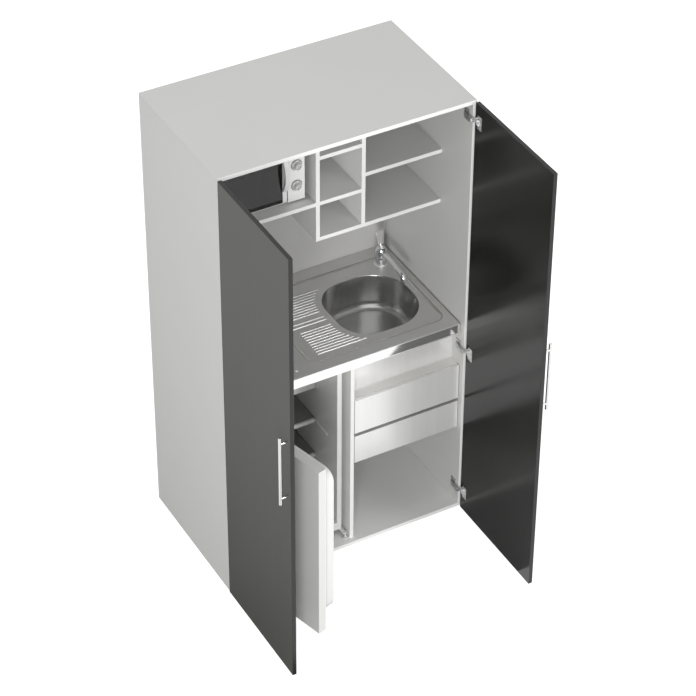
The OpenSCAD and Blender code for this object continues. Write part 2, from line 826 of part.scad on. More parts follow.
// the spout along +X with its axis at the origin, z from the tube's own middle height
module spout_tube() {
  start_x = (spout_rise - spout_bend_r * (1 - cos(spout_slope))) / tan(spout_slope);
  level_x = start_x + spout_bend_r * sin(spout_slope);
  start_z = -spout_bend_r * (1 - cos(spout_slope));
  rod([0, 0, -spout_rise], [start_x, 0, start_z], spout_d);
  spout_bow(level_x, -spout_bend_r, spout_bend_r, 90, spout_slope);
  rod([level_x, 0, 0], [spout_reach - outlet_bend_r, 0, 0], spout_d);
  spout_bow(spout_reach - outlet_bend_r, -outlet_bend_r, outlet_bend_r, 0, 90);
  rod([spout_reach, 0, -outlet_bend_r], [spout_reach, 0, -outlet_drop], spout_d);
  rod([spout_reach, 0, -outlet_drop + 9], [spout_reach, 0, -outlet_drop - 1], outlet_d);
  // short cores that tie the lengths together
  slope = [cos(spout_slope), 0, sin(spout_slope)];
  for (tie = [[[start_x, 0, start_z], slope], [[level_x, 0, 0], [1, 0, 0]],
      [[spout_reach - outlet_bend_r, 0, 0], [1, 0, 0]],
      [[spout_reach, 0, -outlet_bend_r], [0, 0, 1]]])
    rod(tie[0] - 3 * tie[1], tie[0] + 3 * tie[1], spout_d / 2);
}

module tap_spout() color("silver")
  translate([tap_x, tap_y, 0]) rotate(-90 - spout_angle) difference() {
    union() {
      translate([0, 0, collar_z + collar_gap]) cylinder(d = collar_d, h = collar_h);
      difference() {
        translate([0, 0, spout_z]) spout_tube();
        cylinder(d = collar_d - 1, h = cabinet_h);
      }
    }
    cylinder(d = core_pin_d + 2 * turn_fit, h = cabinet_h);
    translate([spout_reach, 0, spout_z - outlet_drop - 2]) cylinder(d = outlet_bore_d, h = 14);
  }

module tap_turret() color("silver") translate([tap_x, tap_y, turret_z]) {
  difference() {
    rotate_extrude() polygon([
      [0, 0], [turret_d / 2, 0], [turret_d / 2, 14], [turret_d / 2 - 3, 20],
      [turret_d / 4, turret_h], [0, turret_h]]);
    translate([0, 0, -1]) cylinder(d = stub_d + 2 * turn_fit, h = stub_h + 1);
    translate([-lever_slot_w / 2, -turret_d, lever_slot_z]) cube([lever_slot_w, 2 * turret_d, turret_h]);
  }
  translate([-lever_slot_w, 0, lever_axis_z - turret_z]) rotate([0, 90, 0])
    cylinder(d = lever_pin_d, h = 2 * lever_slot_w);
}

module tap_lever() color("silver")
  translate([tap_x, tap_y, lever_axis_z]) rotate([-lever_lean, 0, 0]) {
    difference() {
      union() {
        translate([-lever_hub_w / 2, 0, 0]) rotate([0, 90, 0]) cylinder(d = lever_hub_d, h = lever_hub_w);
        cylinder(d = lever_hub_d - 1, h = 24);
      }
      translate([-lever_hub_w, 0, 0]) rotate([0, 90, 0])
        cylinder(d = lever_pin_d + 2 * turn_fit, h = 2 * lever_hub_w);
    }
    hull() for (s = [-1, 1]) {
      translate([s * 10, 0, 22]) sphere(3.5, $fn = 32);
      translate([s * 16, 0, lever_len - 5]) sphere(3, $fn = 32);
      translate([s * 13, 0, lever_len - 3]) sphere(3, $fn = 32);
    }
  }

// ---- cupboard doors ----

// children are in the left door's closed frame, and are drawn as it stands open
module left_door_place()
  translate([-(cabinet_w / 2 - hinge_in), front_y - hinge_out, 0]) rotate(-90) children();
module right_door_place() mirror([1, 0, 0]) left_door_place() children();

module leaf() difference() {
  block(door_edge_x, door_edge_x + door_w, door_face_y - door_t, door_face_y,
    door_bottom_gap, door_bottom_gap + door_h);
  for (z = hinge_heights) {
    translate([cup_x, door_face_y + 1, z]) rotate([90, 0, 0]) cylinder(d = cup_d, h = cup_depth + 1);
    block(door_edge_x - 1, cup_x - cup_d / 2 + 4, -eye_d / 2 - 0.4, door_face_y + 1,
      z - pivot_notch_half, z + pivot_notch_half);
  }
}

module left_door() color("dimgray") left_door_place() leaf();
module right_door() color("dimgray") right_door_place() leaf();

module bar_handle() {
  x = door_edge_x + door_w - handle_inset;
  y = door_face_y - door_t;
  bar_y = y - handle_clear - handle_d / 2;
  translate([x, bar_y, handle_z - handle_len / 2]) cylinder(d = handle_d, h = handle_len);
  for (s = [-1, 1]) translate([x, y, handle_z + s * handle_post_gap / 2]) rotate([90, 0, 0])
    cylinder(d = post_d, h = y - bar_y);
}

module left_door_handle() color("silver") left_door_place() bar_handle();
module right_door_handle() color("silver") right_door_place() bar_handle();

// a cup with its flange, and two eyes at the origin that turn on the arm's pin
module hinge_cup() difference() {
  union() {
    difference() {
      translate([cup_x, door_face_y, 0]) {
        rotate([90, 0, 0]) cylinder(d = cup_d - 0.1, h = cup_depth);
        rotate([-90, 0, 0]) cylinder(d = cup_d + 2 * flange_lip, h = flange_t);
        block(-flange_front, flange_back, 0, flange_t, -flange_half, flange_half);
        for (s = [-1, 1]) translate([cup_screw_x, 0, s * cup_screw_z]) rotate([-90, 0, 0])
          cylinder(d = screw_d, h = flange_t + screw_head_h);
      }
      translate([cup_x, door_face_y + flange_t + 2, 0]) rotate([90, 0, 0])
        cylinder(d = cup_d - 0.1 - 2 * cup_wall, h = cup_depth - cup_wall + flange_t + 2);
    }
    for (s = [-1, 1]) translate([0, 0, s * (lug_top - lug_h / 2)]) {
      cylinder(d = eye_d, h = lug_h, center = true);
      block(0, cup_x - cup_d / 2 + 2 * cup_wall, -eye_d / 2, eye_d / 2, -lug_h / 2, lug_h / 2);
    }
  }
  block(0, cup_x - cup_d / 4, -eye_d, door_face_y + flange_t + 2,
    -finger_half - lug_gap, finger_half + lug_gap);
  cylinder(d = pivot_d + 2 * pivot_fit, h = 4 * lug_top, center = true);
}

module hinge_cups() for (z = hinge_heights) translate([0, 0, z]) hinge_cup();
module left_hinge_cups() color("silver") left_door_place() hinge_cups();
module right_hinge_cups() color("silver") right_door_place() hinge_cups();

// an arm on a side panel: X away from the panel, Y from the carcass front, with the
// finger and pin that the cup's eyes turn on
module hinge_arm() {
  pin_x = hinge_in - board_t;
  block(pin_x, arm_h / 2, finger_y0 - hinge_out, finger_y1 - hinge_out, -finger_half, finger_half);
  translate([pin_x, -hinge_out, 0]) {
    cylinder(r = min(-finger_y0, finger_y1), h = 2 * finger_half, center = true);
    cylinder(d = pivot_d, h = 2 * lug_top, center = true);
  }
  linear_extrude(2 * arm_half, center = true) polygon([
    [0, -arm_reach], [arm_h - arm_nose, -arm_reach], [arm_h, arm_nose - arm_reach],
    [arm_h, arm_level_y], [arm_tail_h, arm_tail_y], [arm_tail_h, arm_back], [0, arm_back]]);
  block(0, plate_t, plate_y0, plate_y1, -plate_half, plate_half);
  for (s = [-1, 1]) translate([0, (plate_y0 + plate_y1) / 2, s * plate_screw_z]) rotate([0, 90, 0])
    cylinder(d = screw_d, h = plate_t + screw_head_h);
}

module hinge_arms() color("gray") both_sides()
  for (z = hinge_heights) translate([inner_x, front_y, z]) mirror([1, 0, 0]) hinge_arm();

// ---- drawers ----

module drawer_front(z, h)
  block(divider_right_x + front_side_gap, inner_x - front_side_gap, inner_front_y,
    inner_front_y + board_t, z, z + h);

module drawer_box(z, h) {
  difference() {
    block(drawer_x0, drawer_x1, drawer_y0, drawer_y0 + drawer_len, z, z + h);
    block(drawer_x0 + drawer_wall, drawer_x1 - drawer_wall, drawer_y0 + drawer_wall,
      drawer_y0 + drawer_len - drawer_wall, z + drawer_floor_t, z + h + 1);
  }
  for (x = [drawer_x0 - rail_w, drawer_x1])
    block(x, x + rail_w, drawer_y0 + 4, drawer_y0 + drawer_len - 2,
      z + rail_lift, z + rail_lift + rail_h);
}

module upper_drawer_front() color("whitesmoke") drawer_front(upper_front_z, upper_front_h);
module lower_drawer_front() color("whitesmoke") drawer_front(lower_front_z, lower_front_h);
module upper_drawer_box() color("white") drawer_box(upper_box_z, upper_box_h);
module lower_drawer_box() color("white") drawer_box(lower_box_z, lower_box_h);

// a C-section beside the drawer whose rail starts at z, its back at x = 0
module runner(z) difference() {
  block(0, runner_w, drawer_y0 + 2, drawer_y0 + drawer_len,
    z - runner_play - runner_t, z + rail_h + runner_play + runner_t);
  block(runner_t, runner_w + 1, drawer_y0, drawer_y0 + drawer_len + 1,
    z - runner_play, z + rail_h + runner_play);
}

module drawer_runners() color("lightgray")
  for (z = [upper_box_z + rail_lift, lower_box_z + rail_lift]) {
    translate([divider_right_x, 0, 0]) runner(z);
    translate([inner_x, 0, 0]) mirror([1, 0, 0]) runner(z);
  }

// ---- fridge ----

module fridge_ledges()
  for (z = [lower_shelf_z, upper_shelf_z], x = [fridge_in_x0, fridge_in_x1 - ledge_w])
    block(x, x + ledge_w, ledge_y0, fridge_in_y1 + 1, z - ledge_h, z);

module fridge_cabinet() color("white") {
  difference() {
    block(fridge_x0, fridge_x1, fridge_y0, fridge_y1, fridge_z0, fridge_z1);
    block(fridge_in_x0, fridge_in_x1, fridge_y0 - 1, fridge_in_y1, fridge_in_z0, fridge_in_z1);
  }
  fridge_ledges();
  difference() {
    block(fridge_in_x0 - 1, fridge_in_x0 + thermostat_t,
      thermostat_y - thermostat_w / 2, thermostat_y + thermostat_w / 2,
      thermostat_z - thermostat_h / 2, thermostat_z + thermostat_h / 2);
    translate([fridge_in_x0, thermostat_y, thermostat_z]) rotate([0, 90, 0])
      cylinder(d = spindle_d + 2 * spindle_fit, h = thermostat_t + 1);
  }
  for (x = [fridge_x0 + fridge_foot_in, fridge_x1 - fridge_foot_in],
      y = [fridge_y0 + 2 * fridge_foot_in, fridge_y1 - fridge_foot_in])
    translate([x, y, board_t]) cylinder(d = fridge_foot_d, h = fridge_foot_h + 1);
}

module fridge_shelves() color("lightblue")
  for (z = [lower_shelf_z, upper_shelf_z])
    block(fridge_in_x0 + shelf_play, fridge_in_x1 - shelf_play,
      shelf_front_y + trim_t, fridge_in_y1 - shelf_play, z, z + glass_t);

module fridge_shelf_trims() color("white")
  for (z = [lower_shelf_z, upper_shelf_z])
    block(fridge_in_x0 + ledge_w + shelf_play, fridge_in_x1 - ledge_w - shelf_play,
      shelf_front_y, shelf_front_y + trim_t, z - trim_drop, z - trim_drop + trim_h);

module freezer_box() color("aliceblue") difference() {
  block(fridge_in_x0, fridge_in_x1, shelf_front_y - 3, fridge_in_y1, freezer_z, fridge_in_z1);
  block(fridge_in_x0 + freezer_wall, fridge_in_x1 - freezer_wall, shelf_front_y - 4,
    fridge_in_y1 - freezer_wall, freezer_z + freezer_wall, fridge_in_z1 - freezer_wall);
  block(fridge_in_x0 + freezer_wall, fridge_in_x1 - freezer_wall, shelf_front_y - 4,
    shelf_front_y + 12, freezer_z - 1, fridge_in_z1 + 1);
  translate([fridge_in_x0 - 1, flap_pin_y, flap_pin_z]) rotate([0, 90, 0])
    cylinder(d = flap_pin_d + 2 * pin_fit, h = fridge_w);
}

module freezer_flap() color("white") {
  block(fridge_in_x0 + freezer_wall + flap_play, fridge_in_x1 - freezer_wall - flap_play,
    shelf_front_y, shelf_front_y + flap_t, freezer_z + flap_play, fridge_in_z1 - freezer_wall - flap_play);
  block(fridge_in_x0 + flap_pull_in, fridge_in_x1 - flap_pull_in, shelf_front_y - flap_t,
    shelf_front_y + 1, flap_pull_z, flap_pull_z + flap_pull_h);
  translate([fridge_in_x0 + 0.5, flap_pin_y, flap_pin_z]) rotate([0, 90, 0])
    cylinder(d = flap_pin_d, h = fridge_in_x1 - fridge_in_x0 - 1);
}

module crisper_drawer() color("lightcyan") {
  x0 = fridge_in_x0 + crisper_side_gap;
  x1 = fridge_in_x1 - crisper_side_gap;
  difference() {
    block(x0, x1, crisper_y0, crisper_y1, crisper_z, crisper_z + crisper_h);
    block(x0 + crisper_wall, x1 - crisper_wall, crisper_y0 + crisper_wall,
      crisper_y1 - crisper_wall, crisper_z + crisper_wall, crisper_z + crisper_h + 1);
  }
  block(x0 + crisper_pull_in, x1 - crisper_pull_in, crisper_y0 - crisper_pull_out, crisper_y0 + 1,
    crisper_pull_z, crisper_pull_z + crisper_pull_t);
}

module thermostat_knob() color("white")
  translate([fridge_in_x0 + thermostat_t + knob_gap, thermostat_y, thermostat_z]) rotate([0, 90, 0]) {
    cylinder(d = thermostat_knob_d, h = thermostat_knob_h);
    translate([-pointer_w / 2, -thermostat_knob_d * 0.4, thermostat_knob_h - 1])
      cube([pointer_w, thermostat_knob_d * 0.6, 1 + pointer_h]);
    translate([0, 0, -knob_gap - thermostat_spindle]) cylinder(d = spindle_d, h = thermostat_spindle + 1);
  }

// children are in the door's closed frame, and are drawn as it stands open
module fridge_door_place()
  translate([fridge_pin_x, fridge_pin_y, 0]) rotate(-fridge_open) children();

module fridge_door_panel() color("silver") fridge_door_place() difference() {
  block(-fridge_pin_in, fridge_w - fridge_pin_in, -fridge_pin_in, liner_y - liner_t,
    fridge_door_z0, fridge_door_z1);
  for (z = [fridge_door_z0 - 1, fridge_door_z1 - pin_depth])
    translate([0, 0, z]) cylinder(d = pin_d + 2 * pin_fit, h = pin_depth + 1);
}

// a rounded upright block from x0 to x1 and z0 to z1, deep along Y from y0
module upright(x0, x1, y0, depth, z0, z1, r)
  translate([(x0 + x1) / 2, y0 + depth, (z0 + z1) / 2]) rotate([90, 0, 0])
    linear_extrude(depth) rounded(x1 - x0, z1 - z0, r);

module fridge_door_liner() color("white") fridge_door_place() {
  block(liner_edge_x, fridge_w - fridge_pin_in, liner_y - liner_t, liner_y,
    fridge_door_z0, fridge_door_z1);
  difference() {
    upright(ridge_x0, ridge_x1, liner_y - 1, ridge_h + 1, ridge_z0, ridge_z1, ridge_r);
    upright(ridge_x0 + ridge_wall, ridge_x1 - ridge_wall, liner_y, ridge_h + 1,
      ridge_z0 + ridge_wall, ridge_z1 - ridge_wall, ridge_r - ridge_wall);
  }
}

module fridge_door_bins() color("lightcyan") fridge_door_place() for (b = bins) {
  x0 = ridge_x0 + ridge_wall + bin_side_gap;
  x1 = ridge_x1 - ridge_wall - bin_side_gap;
  z = ridge_z0 + b[0];
  difference() {
    block(x0, x1, liner_y, liner_y + bin_d, z, z + b[1]);
    block(x0 + bin_wall, x1 - bin_wall, liner_y + bin_wall, liner_y + bin_d - bin_wall,
      z + bin_wall, z + b[1] + 1);
  }
}

module fridge_hinges() color("lightgray") {
  translate([fridge_pin_x, fridge_pin_y, 0]) {
    difference() {
      block(-bracket_edge, bracket_w, -bracket_edge, bracket_l, fridge_z1, fridge_z1 + bracket_t);
      block(bracket_arm_x, bracket_w + 1, -bracket_edge - 1, bracket_arm_y,
        fridge_z1 - 1, fridge_z1 + bracket_t + 1);
    }
    translate([0, 0, fridge_door_z1 - pin_depth + 1]) cylinder(d = pin_d,
      h = fridge_z1 - fridge_door_z1 + pin_depth);
    difference() {
      block(-bracket_edge, bracket_w, -bracket_edge, bracket_l, fridge_z0 - bracket_t, fridge_z0);
      block(bracket_arm_x, bracket_w + 1, -bracket_edge - 1, bracket_arm_y,
        fridge_z0 - bracket_t - 1, fridge_z0 + 1);
    }
    translate([0, 0, fridge_z0 - 1]) cylinder(d = pin_d, h = fridge_door_z0 - fridge_z0 + pin_depth);
    translate([0, 0, fridge_z0 - 1]) cylinder(d = 2 * pin_d, h = fridge_door_z0 - fridge_z0 + 1);
  }
  block(foot_x - foot_strip_w, foot_x + foot_strip_edge, foot_y - foot_strip_edge, fridge_y0 + foot_strip_l,
    fridge_z0 - bracket_t, fridge_z0);
  translate([foot_x, foot_y, board_t]) cylinder(d = pin_d, h = fridge_foot_h - 1);
  translate([foot_x, foot_y, board_t]) cylinder(d = foot_pad_d, h = foot_strip_edge);
}

// ---- microwave ----

module microwave_case() color("white") {
  difference() {
    block(microwave_x0, microwave_x1, mw_case_y0, mw_case_y1, microwave_z0, microwave_z1);
    block(microwave_x0 + mw_case_t, microwave_x1 - mw_case_t, mw_case_y0 - 1,
      mw_case_y1 - mw_case_t, microwave_z0 + mw_case_t, microwave_z1 - mw_case_t);
  }
  difference() {
    block(microwave_x1 - control_w, microwave_x1, microwave_y0, mw_case_y0 + eps,
      microwave_z0, microwave_z1);
    for (z = [timer_knob_z, power_knob_z]) translate([mw_knob_x, mw_case_y0 + 1, z])
      rotate([90, 0, 0]) cylinder(d = spindle_d + 2 * spindle_fit, h = mw_door_t + mw_door_gap + 2);
  }
  for (z = [microwave_z0, microwave_z1 - mw_lug_t])
    block(microwave_x0, mw_pin_x + 8, mw_pin_y - 5, mw_case_y0 + 1, z, z + mw_lug_t);
  translate([mw_pin_x, mw_pin_y, microwave_z0 + 1]) cylinder(d = mw_pin_d, h = pin_depth);
  translate([mw_pin_x, mw_pin_y, microwave_z1 - pin_depth - 1]) cylinder(d = mw_pin_d, h = pin_depth);
  for (x = [microwave_x0 + mw_foot_in, microwave_x1 - mw_foot_in],
      y = [mw_case_y0 + mw_foot_in, mw_case_y1 - mw_foot_in])
    translate([x, y, microwave_z0 - microwave_foot_h]) cylinder(d = mw_foot_d, h = microwave_foot_h + 1);
}

module microwave_cavity() color("lightgray") {
  difference() {
    union() {
      block(cavity_x0, cavity_x1, cavity_y0, cavity_y1, cavity_z0, cavity_z1);
      block(microwave_x0 + mw_case_t, microwave_x1 - mw_case_t, cavity_y0,
        cavity_y0 + cavity_t, microwave_z0 + mw_case_t, microwave_z1 - mw_case_t);
    }
    block(cavity_x0 + cavity_t, cavity_x1 - cavity_t, mw_case_y0 - 1, cavity_y1 - cavity_t,
      cavity_z0 + cavity_t, cavity_z1 - cavity_t);
    for (z = [timer_knob_z, power_knob_z]) translate([mw_knob_x, mw_case_y0 + 5, z])
      rotate([90, 0, 0]) cylinder(d = spindle_d + 2, h = 10);
  }
  translate([table_x, table_y, cavity_z0]) cylinder(d = drive_d, h = cavity_t + drive_h);
}

module microwave_door() color("white") difference() {
  block(microwave_x0, mw_door_x1, microwave_y0, microwave_y0 + mw_door_t,
    microwave_z0 + mw_lug_t + mw_lug_gap, microwave_z1 - mw_lug_t - mw_lug_gap);
  block(glass_x0, glass_x1, microwave_y0 - 1, microwave_y0 + pane_t,
    microwave_z0 + glass_margin, microwave_z1 - glass_margin);
  block(glass_x0 + window_margin, glass_x1 - window_margin, microwave_y0 - 1,
    microwave_y0 + mw_door_t + 1,
    microwave_z0 + glass_margin + window_margin, microwave_z1 - glass_margin - window_margin);
  for (z = [microwave_z0, microwave_z1 - pin_depth - 2]) translate([mw_pin_x, mw_pin_y, z])
    cylinder(d = mw_pin_d + 2 * pin_fit, h = pin_depth + 2);
}

module microwave_door_glass() color("black")
  block(glass_x0, glass_x1, microwave_y0, microwave_y0 + pane_t,
    microwave_z0 + glass_margin, microwave_z1 - glass_margin);

module microwave_handle() color("white") {
  bow_r = (bow_h * bow_h / 4 + bow_out * bow_out) / (2 * bow_out);
  intersection() {
    translate([bow_x - bow_w / 2, microwave_y0 - bow_out + bow_r, (microwave_z0 + microwave_z1) / 2])
      rotate([90, 0, 90]) linear_extrude(bow_w) difference() {
        circle(bow_r, $fn = 96);
        circle(bow_r - bow_t, $fn = 96);
      }
    block(bow_x - bow_w, bow_x + bow_w, microwave_y0 - 2 * bow_out, microwave_y0,
      microwave_z0, microwave_z1);
  }
}

module mw_knob(z) color("lightgray")
  translate([mw_knob_x, microwave_y0 - knob_gap, z]) rotate([90, 0, 0]) knob(mw_knob_d, mw_knob_h);
module power_knob() mw_knob(power_knob_z);
module timer_knob() mw_knob(timer_knob_z);

module turntable() color("lightblue")
  translate([table_x, table_y, cavity_z0 + cavity_t]) difference() {
    rotate_extrude($fn = 96) polygon([
      [0, table_hub_z], [table_hub_r, table_hub_z], [table_hub_r, table_z],
      [turntable_d / 2 - 6, table_z], [turntable_d / 2, table_z + 6],
      [turntable_d / 2, table_z + 8], [turntable_d / 2 - 3, table_z + 8],
      [turntable_d / 2 - 9, table_z + table_t], [0, table_z + table_t]]);
    translate([0, 0, -1]) cylinder(d = drive_d + 2 * turn_fit, h = drive_h + 1);
  }

top_panel();
left_side_panel();
right_side_panel();
floor_panel();
back_panel();
centre_divider();
service_board();
sink_front_panel();
shelf_divider_left();
shelf_divider_right();
bottom_shelf();
microwave_shelf();
small_shelves();
worktop();
worktop_core();
sink_bowl();
sink_strainer();
waste_trap();
hotplates();
hotplate_rims();
hob_switches();
front_plate_knob();
rear_plate_knob();
hob_lamp();
tap_base_plate();
tap_body();
tap_spout();
tap_turret();
tap_lever();
left_door();
right_door();
left_door_handle();
right_door_handle();
hinge_arms();
left_hinge_cups();
right_hinge_cups();
upper_drawer_front();
upper_drawer_box();
lower_drawer_front();
lower_drawer_box();
drawer_runners();
fridge_cabinet();
fridge_shelves();
fridge_shelf_trims();
freezer_box();
freezer_flap();
crisper_drawer();
thermostat_knob();
fridge_door_panel();
fridge_door_liner();
fridge_door_bins();
fridge_hinges();
microwave_case();
microwave_cavity();
microwave_door();
microwave_door_glass();
microwave_handle();
power_knob();
timer_knob();
turntable();
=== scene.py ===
"""Dressing of a kitchenette cabinet: boards, doors, sheet-steel sink top, tap, hob,
drawers, fridge and microwave, with their finishes and the studio they stand in."""

import json
import math
import bmesh
import bpy
from mathutils import Matrix, Vector

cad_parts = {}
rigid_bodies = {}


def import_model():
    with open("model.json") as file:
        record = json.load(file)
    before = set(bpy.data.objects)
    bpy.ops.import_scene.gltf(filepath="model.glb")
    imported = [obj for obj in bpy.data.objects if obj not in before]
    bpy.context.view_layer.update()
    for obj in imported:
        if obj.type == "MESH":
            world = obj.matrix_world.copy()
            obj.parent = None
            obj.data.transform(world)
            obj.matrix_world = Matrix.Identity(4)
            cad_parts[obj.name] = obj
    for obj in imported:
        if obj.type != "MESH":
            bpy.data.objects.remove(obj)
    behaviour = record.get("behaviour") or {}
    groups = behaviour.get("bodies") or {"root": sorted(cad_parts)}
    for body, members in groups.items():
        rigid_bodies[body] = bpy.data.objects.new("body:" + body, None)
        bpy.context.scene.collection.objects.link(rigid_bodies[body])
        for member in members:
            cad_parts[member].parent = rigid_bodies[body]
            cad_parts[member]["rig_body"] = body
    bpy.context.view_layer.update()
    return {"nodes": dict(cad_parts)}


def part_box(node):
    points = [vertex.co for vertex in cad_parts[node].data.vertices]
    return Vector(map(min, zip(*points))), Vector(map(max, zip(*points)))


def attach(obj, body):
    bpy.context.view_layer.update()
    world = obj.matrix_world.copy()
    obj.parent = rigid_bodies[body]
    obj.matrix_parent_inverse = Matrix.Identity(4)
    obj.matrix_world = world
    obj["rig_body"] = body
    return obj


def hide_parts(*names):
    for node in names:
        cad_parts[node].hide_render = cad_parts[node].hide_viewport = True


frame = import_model()
nodes = frame["nodes"]

MM = 0.001
NEAR = 0.6 * MM  # how far from a plane still counts as on it
SMOOTH = 32.0  # degrees between faces up to which a surface stays smooth
FLAT_SMOOTH = 4.0  # the same where a broad flat face meets a narrow one
BROAD_SHARE = 14  # how much larger the broad face is, at least
BROAD_AREA = 2e-4  # and its least area, in square metres
BEVELLED = 40.0  # degrees between faces from which an edge is broken
BEVEL_SMOOTH = 28.0  # smooth limit of a form with broken edges, in degrees
UPRIGHT = (math.pi / 2, 0.0, 0.0)  # turns a flat form to stand from left to right
SQUARE_ON = 0.95  # least part of a normal along an axis that a face lies across


# ---- node graphs ----

class Wire:
    """An output of a node graph that can be used in sums."""

    def __init__(self, graph, socket):
        self.graph = graph
        self.socket = socket

    def math(self, operation, *others):
        return self.graph.node("ShaderNodeMath", {"operation": operation}, [self, *others])

    def __add__(self, other):
        return self.math("ADD", other)

    def __sub__(self, other):
        return self.math("SUBTRACT", other)

    def __mul__(self, other):
        return self.math("MULTIPLY", other)

    def __truediv__(self, other):
        return self.math("DIVIDE", other)

    def __radd__(self, other):
        return self.math("ADD", other)

    def __rsub__(self, other):
        return self.graph.node("ShaderNodeMath", {"operation": "SUBTRACT"}, [other, self])

    def __pow__(self, other):
        return self.math("POWER", other)

    def __lt__(self, other):
        return self.math("LESS_THAN", other)

    def __gt__(self, other):
        return self.math("GREATER_THAN", other)

    def __abs__(self):
        return self.math("ABSOLUTE")

    def least(self, other):
        return self.math("MINIMUM", other)

    def most(self, other):
        return self.math("MAXIMUM", other)

    def held(self):
        return self.math("MINIMUM", 1.0).math("MAXIMUM", 0.0)

    def parts(self):
        split = self.graph.tree.nodes.new("ShaderNodeSeparateXYZ")
        self.graph.tree.links.new(self.socket, split.inputs[0])
        return [Wire(self.graph, s) for s in split.outputs]


class Graph:
    """A node tree, with one method that adds nodes and one that adds its output."""

    def __init__(self, tree):
        self.tree = tree

    def node(self, kind, settings=None, inputs=(), output=0):
        made = self.tree.nodes.new(kind)
        for key, value in (settings or {}).items():
            setattr(made, key, value)
        pairs = inputs.items() if isinstance(inputs, dict) else enumerate(inputs)
        for key, value in pairs:
            if isinstance(value, Wire):
                self.tree.links.new(value.socket, made.inputs[key])
            else:
                made.inputs[key].default_value = value
        return Wire(self, made.outputs[output])

    def ended(self, kind, socket):
        self.tree.links.new(socket, self.tree.nodes.new(kind).inputs[0])


def emptied(holder):
    """The node tree of a material or world, with nothing in it."""
    holder.use_nodes = True
    holder.node_tree.nodes.clear()
    return holder.node_tree


def rays(graph, *kinds):
    """For each kind of ray, a wire that is 1 when such a ray looks."""
    path = graph.tree.nodes.new("ShaderNodeLightPath")
    return [Wire(graph, path.outputs["Is " + kind + " Ray"]) for kind in kinds]


class Finish(Graph):
    """A material with one Principled shader."""

    def __init__(self, name, colour, roughness=0.5, metallic=0.0, **plain):
        self.material = bpy.data.materials.new(name)
        super().__init__(emptied(self.material))
        self.shader = self.tree.nodes.new("ShaderNodeBsdfPrincipled")
        self.ended("ShaderNodeOutputMaterial", self.shader.outputs[0])
        self.set("Base Color", colour)
        self.set("Roughness", roughness)
        self.set("Metallic", metallic)
        for key, value in plain.items():
            self.set(key.replace("_", " "), value)
        self.material.diffuse_color = (*colour, 1.0)

    def set(self, name, value):
        if isinstance(value, Wire):
            self.tree.links.new(value.socket, self.shader.inputs[name])
        elif isinstance(value, tuple):
            self.shader.inputs[name].default_value = (*value, 1.0)
        else:
            self.shader.inputs[name].default_value = value

    def place(self):
        """Object coordinates, in metres of the cabinet's own frame."""
        return self.node("ShaderNodeTexCoord", output="Object")

    def stretched(self, x, y, z):
        """Object coordinates, each axis scaled by itself."""
        return self.node("ShaderNodeMapping", {}, {"Vector": self.place(), "Scale": (x, y, z)})

    def noise(self, scale, detail=2.0, at=None, roughness=0.5):
        return self.node("ShaderNodeTexNoise", {}, {
            "Vector": at or self.place(), "Scale": scale, "Detail": detail,
            "Roughness": roughness})

    def mixed(self, factor, low, high):
        low = low if isinstance(low, Wire) else (*low, 1.0)
        high = high if isinstance(high, Wire) else (*high, 1.0)
        return self.node("ShaderNodeMix", {"data_type": "RGBA"}, {0: factor, 6: low, 7: high}, 2)

    def clouded(self, colour, factor, low, high):
        """Lets the base colour vary with a factor from one shade to another."""
        self.set("Base Color", self.mixed(factor, shade(colour, low), shade(colour, high)))

    def bumped(self, height, strength, distance):
        self.set("Normal", self.node("ShaderNodeBump", {}, {
            "Strength": strength, "Distance": distance, "Height": height}))


def shade(colour, by):
    """A colour made lighter or darker by a factor."""
    return tuple(max(0.0, min(1.0, c * by)) for c in colour)


def greatest(wires):
    """The greatest of several wires."""
    made = wires[0]
    for wire in wires[1:]:
        made = made.most(wire)
    return made


def near_plane(finish, axis, at):
    """1 close to a plane across one axis, 0 elsewhere."""
    return abs(finish.place().parts()[axis] - at) < NEAR


# ---- finishes ----

def faced_board(name, colour, band=None, bands=(), gloss=0.42):
    """Melamine-faced board: a pearl texture too fine to see as relief, a faint
    cloudiness, and a plain edge band where the board ends."""
    made = Finish(name, colour, gloss, Specular_IOR_Level=0.4)
    cloud = made.noise(5.0, 3.0)
    pearl = made.noise(900.0, 1.0)
    face = made.mixed(cloud, shade(colour, 0.975), shade(colour, 1.02))
    if bands:
        edge = greatest([near_plane(made, axis, at) for axis, at in bands])
        face = made.mixed(edge, face, band)
    made.set("Base Color", face)
    made.set("Roughness", gloss - 0.03 + pearl * 0.06)
    made.bumped(pearl, 0.10, 0.00004)
    return made.material


def lacquered_front(name, outer, inner, edge_colour, faces, outer_at, side):
    """Door board: a satin outer face, a glossy inner one painted far darker as painted shade of the
    open doors' inner sides, and a black edge band.
    faces holds an axis and the two planes across it past which the edge band begins."""
    made = Finish(name, outer, 0.4, Specular_IOR_Level=0.42)
    across = made.place().parts()
    edge = greatest([(across[axis] < low).most(across[axis] > high)
                     for axis, low, high in faces])
    outside = ((across[0] - outer_at) * side) > -NEAR
    fine = made.noise(1400.0, 1.0)
    cloud = made.noise(3.0, 2.0)
    streak = made.noise(1.0, 2.0, made.stretched(3.0, 220.0, 1.2))
    # painted shade: the inner face takes a far darker colour than the outer face of the same board,
    # for the shade on the doors' inner sides
    face = made.mixed(outside, inner, made.mixed(cloud, shade(outer, 0.96), shade(outer, 1.04)))
    made.set("Base Color", made.mixed(edge, face, edge_colour))
    inner_gloss, outer_more, edge_more = 0.15, 0.26, 0.12
    made.set("Roughness", inner_gloss + streak * 0.06 + fine * 0.02
             + outside * outer_more + edge * edge_more)
    made.bumped(fine, 0.12, 0.00002)
    return made.material


